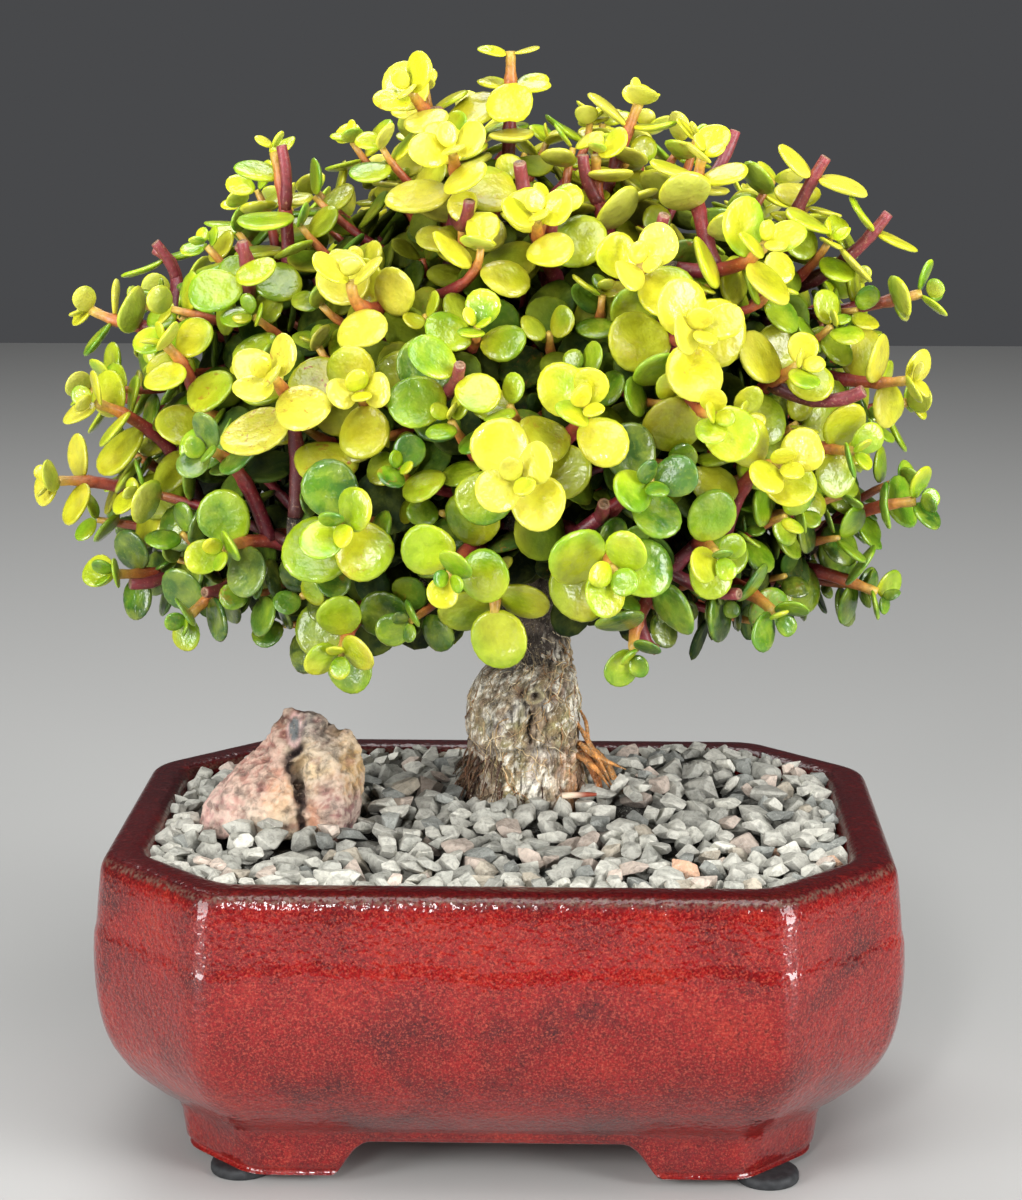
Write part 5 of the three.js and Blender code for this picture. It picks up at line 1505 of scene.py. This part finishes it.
BOTH = (0, 1)
HAND_LAID = {  # pairs of the shoots that stand out: number, distance behind the tip, length, opening, sides
    (2, 0, 261): [
        (0, 0.8, 8, 84, BOTH), (1, 6.5, 15, 138, (1,)), (2, 9, 11.5, 74, BOTH), (3, 19, 13.5, 92, BOTH),
        (4, 27, 13, 92, BOTH), (5, 35, 13, 94, BOTH),
    ],
    (0, -56, 139.5): [
        (0, 2.6, 13.5, 20, (1,)), (1, 6, 11, 72, BOTH), (2, 12, 12, 86, BOTH), (3, 19, 12, 92, BOTH),
    ],
}
SPOTTED_TIP = (-48, -62, 193)
HEART_TIPS = ((98, -10, 157), (2, 0, 261))  # shoots with notched leaves


def laid_by_hand(shoot):
    return HAND_LAID.get(tuple(shoot.tip)) if shoot.kind == "row" else None


def pairs_of(shoot):
    """Each pair of leaves of a shoot: its number, distance behind the tip, length, opening and sides."""
    if laid_by_hand(shoot):
        return laid_by_hand(shoot)
    found = []
    moved = CUT_STUB - 6 * shoot.size if shoot.cut else 0
    if not shoot.cut and (shoot.kind == "row" or shoot.index % 3 == 0):
        found.append((-1, *BUD_PAIR, BOTH))
    for pair, (distance, length, opening) in enumerate(PAIRS[: shoot.pairs]):
        if shoot.cut and pair == 0:
            continue
        found.append((pair, distance * shoot.size + moved, length, opening, BOTH))
    for pair, (distance, length, opening) in enumerate(PAIRS[shoot.pairs:] + INNER_PAIRS, start=shoot.pairs):
        reach = distance * shoot.size * 0.9 + moved
        if reach < 0.82 * shoot.span and pair < shoot.pairs + shoot.inner:
            found.append((pair, reach, length, opening, BOTH))
    return found


def place_leaves(shoots, crowd, loose=0.0):
    """Puts the shoots' leaves on, pair by pair from the tips inwards, wherever there is room."""
    leaves = []
    ranks = {shoot.index: pairs_of(shoot) for shoot in shoots}
    for rank in range(max(len(found) for found in ranks.values())):
        for shoot in shoots:
            if rank >= len(ranks[shoot.index]):
                continue
            pair, distance, length, opening, sides = ranks[shoot.index][rank]
            for side in sides:
                for attempt in TRIES:
                    leaf = leaf_at(shoot, pair, side, distance, length, opening, attempt)
                    if not crowd.blocked(leaf, loose):
                        crowd.add(leaf)
                        leaves.append(leaf)
                        break
    return leaves


# ---------------------------------------------------------------- fill shoots and pruned branches


def register_stem(crowd, shoot, radius):
    """Keeps the room of a stem, as beads along it."""
    places = np.linspace(0.06, 1, max(4, int(shoot.span / 3)))
    crowd.add_beads(np.array([stem_point(shoot, t) for t in places]), radius, shoot.index)


def add_stub_shoots(crowd):
    """Pruned branches: short woody stems that end in a cut."""
    shoots = []
    stems = np.vstack([shoot.line[4:-9] for shoot in ROWS])
    for k, (end, radius) in enumerate(STUBS):
        tip = np.array(end, dtype=float)
        way = unit(tip - CROWN_CORE)
        pointing = unit(way + UP * 0.35 + np.array([spread(k, 7, 1, 0.3), spread(k, 8, 1, 0.3), 0]))
        anchor = nearest_anchor(ANCHORS, tip - way * 24, 0)
        nearest = stems[np.argmin(np.linalg.norm(stems - (tip - pointing * 12), axis=1))]
        start = nearest if np.linalg.norm(nearest - tip) < np.linalg.norm(anchor.at - tip) else anchor.at
        shoot = SimpleNamespace(index=STUB_INDEX + k, tip=tip, pointing=pointing, cut=True, kind="stub",
                                start=start, radius=radius * 0.8)
        shoot.bend = tip - pointing * 0.5 * np.linalg.norm(tip - start)
        shoots.append(lay_stem(shoot))
        register_stem(crowd, shoot, radius)
    return shoots


# Layers of fill: number of directions, lowest and highest share of the crown's reach, leaf size, pairs of
# leaves, pairs further in, and least gap between tips.
FILL = [
    SimpleNamespace(name="outer", count=230, low=0.86, high=0.98, size=0.98, pairs=3, inner=1, gap=12.5),
    SimpleNamespace(name="middle", count=130, low=0.7, high=0.8, size=1.02, pairs=3, inner=2, gap=14),
    SimpleNamespace(name="deep", count=70, low=0.46, high=0.6, size=1.0, pairs=3, inner=2, gap=14),
]
FILL_SINES = (-0.66, 0.995)  # how far down and up the directions go
FILL_TRIES = 6
MOST_CROSSED = 2  # leaves that a fill stem may run through
CROWN_EDGE = SimpleNamespace(side_x=45, side=131, middle=135)  # lowest height at the sides and in the middle
BARE_TRUNK = SimpleNamespace(x=6, half_width=22, y=8, top=152)


def in_crown(tip):
    """True where a fill shoot's tip is above the crown's lower edge, and not before the bare trunk."""
    x, y, z = tip
    before_trunk = abs(x - BARE_TRUNK.x) < BARE_TRUNK.half_width and y < BARE_TRUNK.y and z < BARE_TRUNK.top
    lowest = CROWN_EDGE.side if abs(x) > CROWN_EDGE.side_x else CROWN_EDGE.middle
    return z >= lowest and not before_trunk


def fill_layer(layer, crowd, taken, first, rng):
    """Shoots between those of the table, in directions spread evenly over the crown."""
    shoots = []
    for k in range(layer.count):
        sine = lerp(*FILL_SINES, (k + 0.5) / layer.count)
        turn = GOLDEN_TURN * k + rng.normal(0, 0.1)
        level = math.sqrt(1 - sine * sine)
        way = np.array([math.cos(turn) * level, math.sin(turn) * level, sine])
        weights = crown_share(way)
        reach = float(weights @ TIP_REACH)
        best = None
        for attempt in range(FILL_TRIES):
            share = rng.uniform(layer.low, layer.high) - (0.07 if way[1] < -0.25 else 0)
            tip = CROWN_CORE + unit(way + rng.normal(0, 0.05, 3)) * reach * share
            crowded = np.linalg.norm(taken - tip, axis=1).min() < layer.gap * (1 - 0.04 * attempt)
            if crowded or not in_crown(tip):
                continue
            pointing = unit(unit(tip - CROWN_CORE) + UP * 0.3 + rng.normal(0, 0.28, 3))
            wanted = tip - pointing * 14 + unit(CROWN_CORE - tip) * 16
            anchor = nearest_anchor(ANCHORS, wanted, 1.5)
            bend = tip - pointing * STEM.bend * np.linalg.norm(tip - anchor.at)
            line = np.array([bezier(anchor.at, bend, tip, t) for t in np.linspace(0.2, 1, 14)])
            crossed = crowd.pierced(line, 1.2)
            if best is None or crossed < best[0]:
                best = (crossed, tip, pointing, anchor, bend)
            if crossed == 0:
                break
        if best is None or best[0] > MOST_CROSSED:
            continue
        _, tip, pointing, anchor, bend = best
        anchor.used += 1
        shoot = SimpleNamespace(index=first + len(shoots), kind=layer.name, tip=tip, pointing=pointing,
                                turn=rng.uniform(0, 90), size=layer.size * rng.uniform(0.92, 1.12),
                                tint=float(weights @ TIP_TINTS), pairs=layer.pairs, inner=layer.inner,
                                cut=False, start=anchor.at, bend=bend)
        lay_stem(shoot)
        register_stem(crowd, shoot, 1.0)
        taken = np.vstack([taken, tip])
        shoots.append(shoot)
    return shoots, taken


# ---------------------------------------------------------------- leaf shapes and colours

LEAF_RINGS = {  # points round the rim; share of the way out and height of each ring
    "row": (20, ((0.55, 0.94), (0.86, 0.78), (0.965, 0.45), (1.0, 0.0), (0.93, -0.5), (0.55, -0.95))),
    "outer": (16, ((0.6, 0.94), (0.93, 0.55), (1.0, 0.0), (0.85, -0.75))),
    "deep": (12, ((0.6, 0.95), (0.93, 0.5), (1.0, 0.0), (0.8, -0.8))),
}


def leaf_pattern(count, rings):
    """Angle, share and height of every point of a leaf, and its faces."""
    angle = np.concatenate([circle(count)] * len(rings) + [[0, 0]])
    share = np.concatenate([np.full(count, s) for s, _ in rings] + [[0, 0]])
    height = np.concatenate([np.full(count, h) for _, h in rings] + [[0.86, -1]])
    faces = [face[::-1] for face in closed_faces(len(rings), count)]
    return SimpleNamespace(angle=angle, share=share, height=height, faces=faces)


LEAF_PATTERNS = {name: leaf_pattern(*rings) for name, rings in LEAF_RINGS.items()}
GREEN_TO_YELLOW = [
    (0.0, srgb(52, 98, 28)), (0.15, srgb(74, 130, 24)), (0.3, srgb(104, 160, 20)), (0.45, srgb(148, 192, 20)),
    (0.6, srgb(184, 208, 26)), (0.75, srgb(214, 218, 34)), (0.9, srgb(230, 222, 40)),
    (1.0, srgb(238, 228, 72)),
]
LEAF_ALBEDO = 0.68
GLAUCOUS = srgb(132, 160, 88)
# Deep green darkened with painted shade, for the leaves deep in the crown.
DEEP_GREEN_AND_SHADE = srgb(18, 42, 14)


def leaf_mesh(leaf, rng):
    """Points, faces, colours and spot strength of a leaf."""
    shoot = leaf.shoot
    pattern = LEAF_PATTERNS.get(shoot.kind, LEAF_PATTERNS["deep"])
    a = pattern.angle
    if shoot.heart and leaf.pair in (1, 2):
        notch = 0.2
    else:
        notch = rng.uniform(0.04, 0.1) if rng.random() < 0.06 else 0.0
    width = LEAF.width * rng.uniform(0.9, 1.06)
    egg = rng.uniform(-0.02, 0.16)
    skew = rng.normal(0, 0.025)
    edge_x = np.cos(a) * (1 - notch * np.exp(-((np.where(a > math.pi, a - 2 * math.pi, a) / 0.36) ** 2)))
    edge_x += 0.018 * np.cos(3 * a + rng.uniform(0, 6))
    edge_y = np.sin(a) * (1 + egg * np.cos(a)) + skew * (1 - np.cos(2 * a))
    x = 0.5 + 0.5 * edge_x * pattern.share
    y = 0.5 * width * edge_y * pattern.share
    far = (2 * x - 1) ** 2 + (2 * y) ** 2
    cup, bend, twist = rng.uniform(-0.01, 0.075), rng.uniform(-0.05, 0.11), rng.normal(0, 0.09)
    half = LEAF.half_thickness * (1.5 if leaf.pair < 0 else rng.uniform(0.9, 1.15))
    z = pattern.height * half + cup * far - bend * x * x + twist * (x - 0.2) * y
    z += 0.02 * np.sin(2 * a + rng.uniform(0, 6)) * pattern.share ** 2
    local = np.column_stack([x, y, z]) * leaf.length
    points = leaf.root + local @ leaf.axes
    return points, pattern.faces, leaf_colors(leaf, pattern, x, y, rng), spot_strength(shoot, rng)


def spot_strength(shoot, rng):
    if shoot.spotted:
        return rng.uniform(0.6, 1.0)
    return rng.uniform(0.2, 0.6) if rng.random() < 0.1 else 0.0


def leaf_reach(leaf):
    """How far out a leaf sits: 1 at the crown's skin, 0 at its core."""
    out = leaf.centre - CROWN_CORE
    return float(np.linalg.norm(out) / float(crown_share(unit(out)) @ TIP_REACH))


def leaf_colors(leaf, pattern, x, y, rng):
    """Two tints that run into each other, a bright rim and a dull underside; painted shade darkens the leaves
    inside the crown and low down, and painted light brightens those at the top.
    """
    kind, centre = leaf.shoot.kind, leaf.centre
    reach = leaf_reach(leaf)
    inside = 1 - smoothstep(0.58, 0.98, reach)
    high = smoothstep(185, 225, centre[2])
    upward = leaf.axes[2] @ unit(UP + unit(centre - CROWN_CORE))
    tint = leaf.shoot.tint + rng.normal(0, 0.12) - lerp(0.42, 0.26, high) * inside + 0.06 * high
    tint = tint - 0.1 * max(leaf.pair, 0) / 3 + 0.06 * upward
    if kind != "row":
        tint -= 0.07 + 0.25 * (1 - smoothstep(120, 170, centre[2]))
    second = tint + rng.choice([-1, 1]) * rng.uniform(0.12, 0.34) * (1 if tint > 0.25 else 0.6)
    lean, radial = rng.uniform(0, 2 * math.pi), rng.choice([-1.0, 0.0, 0.7, 1.2])
    place = math.cos(lean) * (2 * x - 1) + math.sin(lean) * 2 * y + radial * (pattern.share ** 2 - 0.5)
    weight = smoothstep(-0.5, 0.9, place + rng.uniform(-0.7, 0.5) + 0.12 * np.sin(9 * x + 7 * y + lean))
    colors = color_between(GREEN_TO_YELLOW, lerp(tint, second, weight))
    glaucous = rng.uniform(0.0, 0.55) * smoothstep(0.45, 0.1, tint)
    glaucous *= lerp(1.0, 0.4, smoothstep(-50, 10, centre[0]))
    colors = lerp(colors, GLAUCOUS, glaucous * lerp(1, 0.7, weight[:, None]))
    # Painted shade: leaves deep in the crown go towards a dark deep green.
    colors = lerp(colors, DEEP_GREEN_AND_SHADE, 0.9 * (1 - smoothstep(0.45, 0.8, reach)))
    under = (pattern.height < -0.3)[:, None]
    rim = smoothstep(0.9, 1.0, pattern.share)[:, None] * ~under
    colors = lerp(colors, np.minimum(colors * 1.25 + 0.015, 0.9), 0.55 * rim)
    dull = lerp(colors, colors.mean(axis=1, keepdims=True) * (1.0, 1.12, 0.7), 0.25) * 0.96
    colors = np.where(under, dull, colors)
    # Painted shade and light: leaves inside the crown are darkened to 0.2 and low ones to 0.72, and those at
    # the top are brightened by up to 0.26.
    painted_light_and_shade = lerp(0.2, 1.0 + 0.26 * high, smoothstep(0.7, 0.97, reach))
    painted_light_and_shade *= lerp(0.72, 1.0, smoothstep(115, 160, centre[2]))
    return colors * LEAF_ALBEDO * painted_light_and_shade * rng.uniform(0.9, 1.06)


def add_stem(skin, shoot, pairs):
    """A stem with swollen joints where its leaves sit."""
    stub = shoot.kind == "stub"
    fine = stub or shoot.kind == "row"
    steps = max(5, int(shoot.span / (1.5 if fine else 3.5)))
    ts = np.linspace(0, 1, steps + 1)
    distances = (1 - ts) * shoot.span
    thick = lerp(STEM.radius, STEM.tip_radius, ts)
    if stub:
        thick = lerp(shoot.radius * 1.1, shoot.radius, ts)
    elif not shoot.cut:
        thick = thick * lerp(1, 0.8, smoothstep(8, 0, distances)) * (1 if fine else 0.74)
    joints = [(distance, 0.22, 0.9) for _, distance, *_ in pairs]
    if stub:
        joints += [(distance, 0.13, 0.8) for distance in (5.5, 13, 21)]
    for distance, swell, width in joints:
        thick = thick * (1 + swell * np.exp(-(((distances - distance) / width) ** 2)))
    older = (14 if shoot.cut else 0) + (8 if shoot.kind in ("middle", "deep") else 0)
    colors = color_between(STEM_TONES, distances + older)
    points = [stem_point(shoot, t) for t in ts]
    if shoot.cut:
        near_end = smoothstep(16, 3, distances)[:, None]
        colors = lerp(colors, STUB_TONE * (0.85 + 0.3 * draw(shoot.index, 5)), 0.75 * near_end)
        end, along = points[-1], unit(points[-1] - points[-2])
        points += [end + along * out for out in (0.25, 0.3, 0.15)]
        thick = np.concatenate([thick, thick[-1] * np.array([0.86, 0.6, 0.3])])
        colors = np.vstack([colors, CUT_TONE * 0.75, CUT_TONE, CUT_TONE * 0.55])
    sweep(points, thick, 10 if fine else 6, skin, colors, kind=1)


def leaf_material(name, roughness, gloss=0.5, coat=0.2, pale=0.28):
    """A succulent leaf: soft sheen under a wet coat, pale mottling, and brown marks where it is spotted."""
    paint = Paint(name)
    mottle = paint.grain(3.4, 4, 0.6, distortion=0.6)
    color = paint.shaded_tone(mottle, (0.32, 0.8), (0.52, 1.0), (0.7, 1.1))
    patches = paint.grain(5, 4, 0.55, distortion=0.5)
    color = paint.dab(color, patches, (0.42, 0.0), (0.68, pale), 200, 212, 66)
    color = paint.dab(color, paint.grain(0.9, 3, 0.7), (0.55, 0.0), (0.75, 0.5 * pale), 230, 230, 84)
    marks = paint.ramp(paint.grain(2.1, 3, 0.7, distortion=1.0), (0.585, 0.0), (0.66, 1.0))
    spots = paint.node("Attribute", attribute_name="spots").outputs["Fac"]
    color = paint.mix(paint.math("MULTIPLY", marks, spots), color, srgb(150, 84, 34))
    wavy = paint.bump(paint.grain(4.2, 3), 0.6)
    skin = paint.bump(paint.grain(0.8, 2), 0.04, below=wavy)
    return paint.finish(color, roughness, {
        "Specular IOR Level": gloss, "Coat Weight": coat, "Coat Roughness": 0.04, "Coat Normal": skin,
        "Subsurface Weight": 0.3, "Subsurface Radius": (1.0, 1.0, 0.35), "Subsurface Scale": 0.002,
    })


def stem_material():
    paint = Paint("young_stem")
    streaks = paint.grain(1.4, 4, 0.6, distortion=0.4)
    color = paint.shaded_tone(streaks, (0.3, 0.68), (0.5, 1.0), (0.7, 1.25))
    color = paint.dab(color, paint.grain(0.6, 2), (0.6, 0.0), (0.7, 0.3), 206, 160, 130)
    paint.bump(streaks, 0.2)
    return paint.finish(color, 0.45, {"Coat Weight": 0.15, "Coat Roughness": 0.3})


def slot_of(tint):
    if tint >= 0.7:
        return "leaf_yellow"
    return "leaf_lime" if tint >= 0.45 else "leaf_green"


def grow_crown():
    """All shoots but the table's, and every shoot's leaves by the shoot's number."""
    rng = np.random.default_rng(23)
    crowd = Crowd()
    for x, y, z, radius in LEADER[1:]:
        crowd.add_beads(np.array([[x, y, z]]), radius, -1)
    for limb in LIMBS:
        for t in np.linspace(0.1, 1, 14):
            crowd.add_beads(limb_point(limb, t)[None], limb_radius(limb, t), -1)
    for shoot in ROWS:
        register_stem(crowd, shoot, 1.5)
    stubs = add_stub_shoots(crowd)
    leaves = place_leaves([shoot for shoot in ROWS if laid_by_hand(shoot)], crowd)
    leaves += place_leaves([shoot for shoot in ROWS if not laid_by_hand(shoot)], crowd)
    taken, fill = TIPS, []
    for layer in FILL:
        shoots, taken = fill_layer(layer, crowd, taken, FILL_INDEX + len(fill), rng)
        leaves += place_leaves(shoots, crowd, loose=0.12)
        fill += shoots
    by_owner = {}
    for leaf in leaves:
        by_owner.setdefault(leaf.owner, []).append(leaf)
    return stubs, fill, by_owner


def sort_shoots(stubs, fill):
    """The pieces of the crown: for each name its shoots, its slot and the CAD nodes that it stands for."""
    groups = {}
    for number, shoot in enumerate(SPRINGING, start=1):
        after = SPRINGING[number].index if number < len(SPRINGING) else len(ROWS)
        members, nodes = ROWS[shoot.index:after], [f"shoot_{number:02d}"]
        groups[f"spray_{number:02d}"] = (members, slot_of(shoot.tint), nodes)
    groups["pruned_branches"] = (stubs, "bark", [])
    for shoot in fill:
        sector = int((math.atan2(shoot.tip[1] - 12, shoot.tip[0] - 3) / math.pi + 1) * 2.999) + 1
        slot = slot_of(shoot.tint - (0.25 if shoot.kind == "outer" else 0.45))
        name = f"inner_{slot.removeprefix('leaf_')}_{sector}"
        groups.setdefault(name, ([], slot, []))[0].append(shoot)
    return groups


def add_crown():
    """All shoots: those of the table, the pruned branches and the fill, each group a piece of its own."""
    stubs, fill, by_owner = grow_crown()
    for shoot in ROWS + stubs + fill:
        shoot.spotted = tuple(shoot.tip) == SPOTTED_TIP
        shoot.heart = tuple(shoot.tip) in HEART_TIPS
    finishes = {name: leaf_material(name, roughness)
                for name, roughness in (("leaf_yellow", 0.34), ("leaf_lime", 0.31), ("leaf_green", 0.28))}
    wood = stem_material()
    # Painted shade: a duller copy of the leaf material, less glossy, without coat and with less pale
    # mottling, for the leaves deep in the crown.
    shaded = leaf_material("leaf_shaded", 0.6, gloss=0.15, coat=0.0, pale=0.1)
    rng = np.random.default_rng(5)
    for name, (members, slot, nodes) in sort_shoots(stubs, fill).items():
        skin = Skin()
        for shoot in members:
            add_stem(skin, shoot, [] if shoot.kind == "stub" else pairs_of(shoot))
            for leaf in by_owner.get(shoot.index, []):
                points, faces, colors, spots = leaf_mesh(leaf, rng)
                # Painted shade: leaves deep in the crown take the shaded copy of the leaf material.
                skin.add(points, faces, colors, kind=0 if leaf_reach(leaf) > 0.8 else 2, spots=spots)
        leafy = finishes.get(slot, finishes["leaf_lime"])
        make_piece(name, skin, [leafy, wood, shaded], nodes)


# ---------------------------------------------------------------- assembly


def add_floor():
    """The plain surface under the pot, which stays behind at hand-in."""
    corners = [(x * FLOOR_HALF, y * FLOOR_HALF, 0) for x, y in ((-1, -1), (1, -1), (1, 1), (-1, 1))]
    mesh = bpy.data.meshes.new("floor")
    mesh.from_pydata(corners, [], [(0, 1, 2, 3)])
    mesh.materials.append(Paint("pale_floor").finish((*srgb(166, 166, 164), 1), 0.6))
    floor = add_object("floor", mesh)


add_camera()
add_pot()
add_pads()
add_screens()
dress_soil()
ground = add_gravel()
add_rock()
add_trunk()
add_twig(ground)
add_crown()
add_floor()
add_studio()
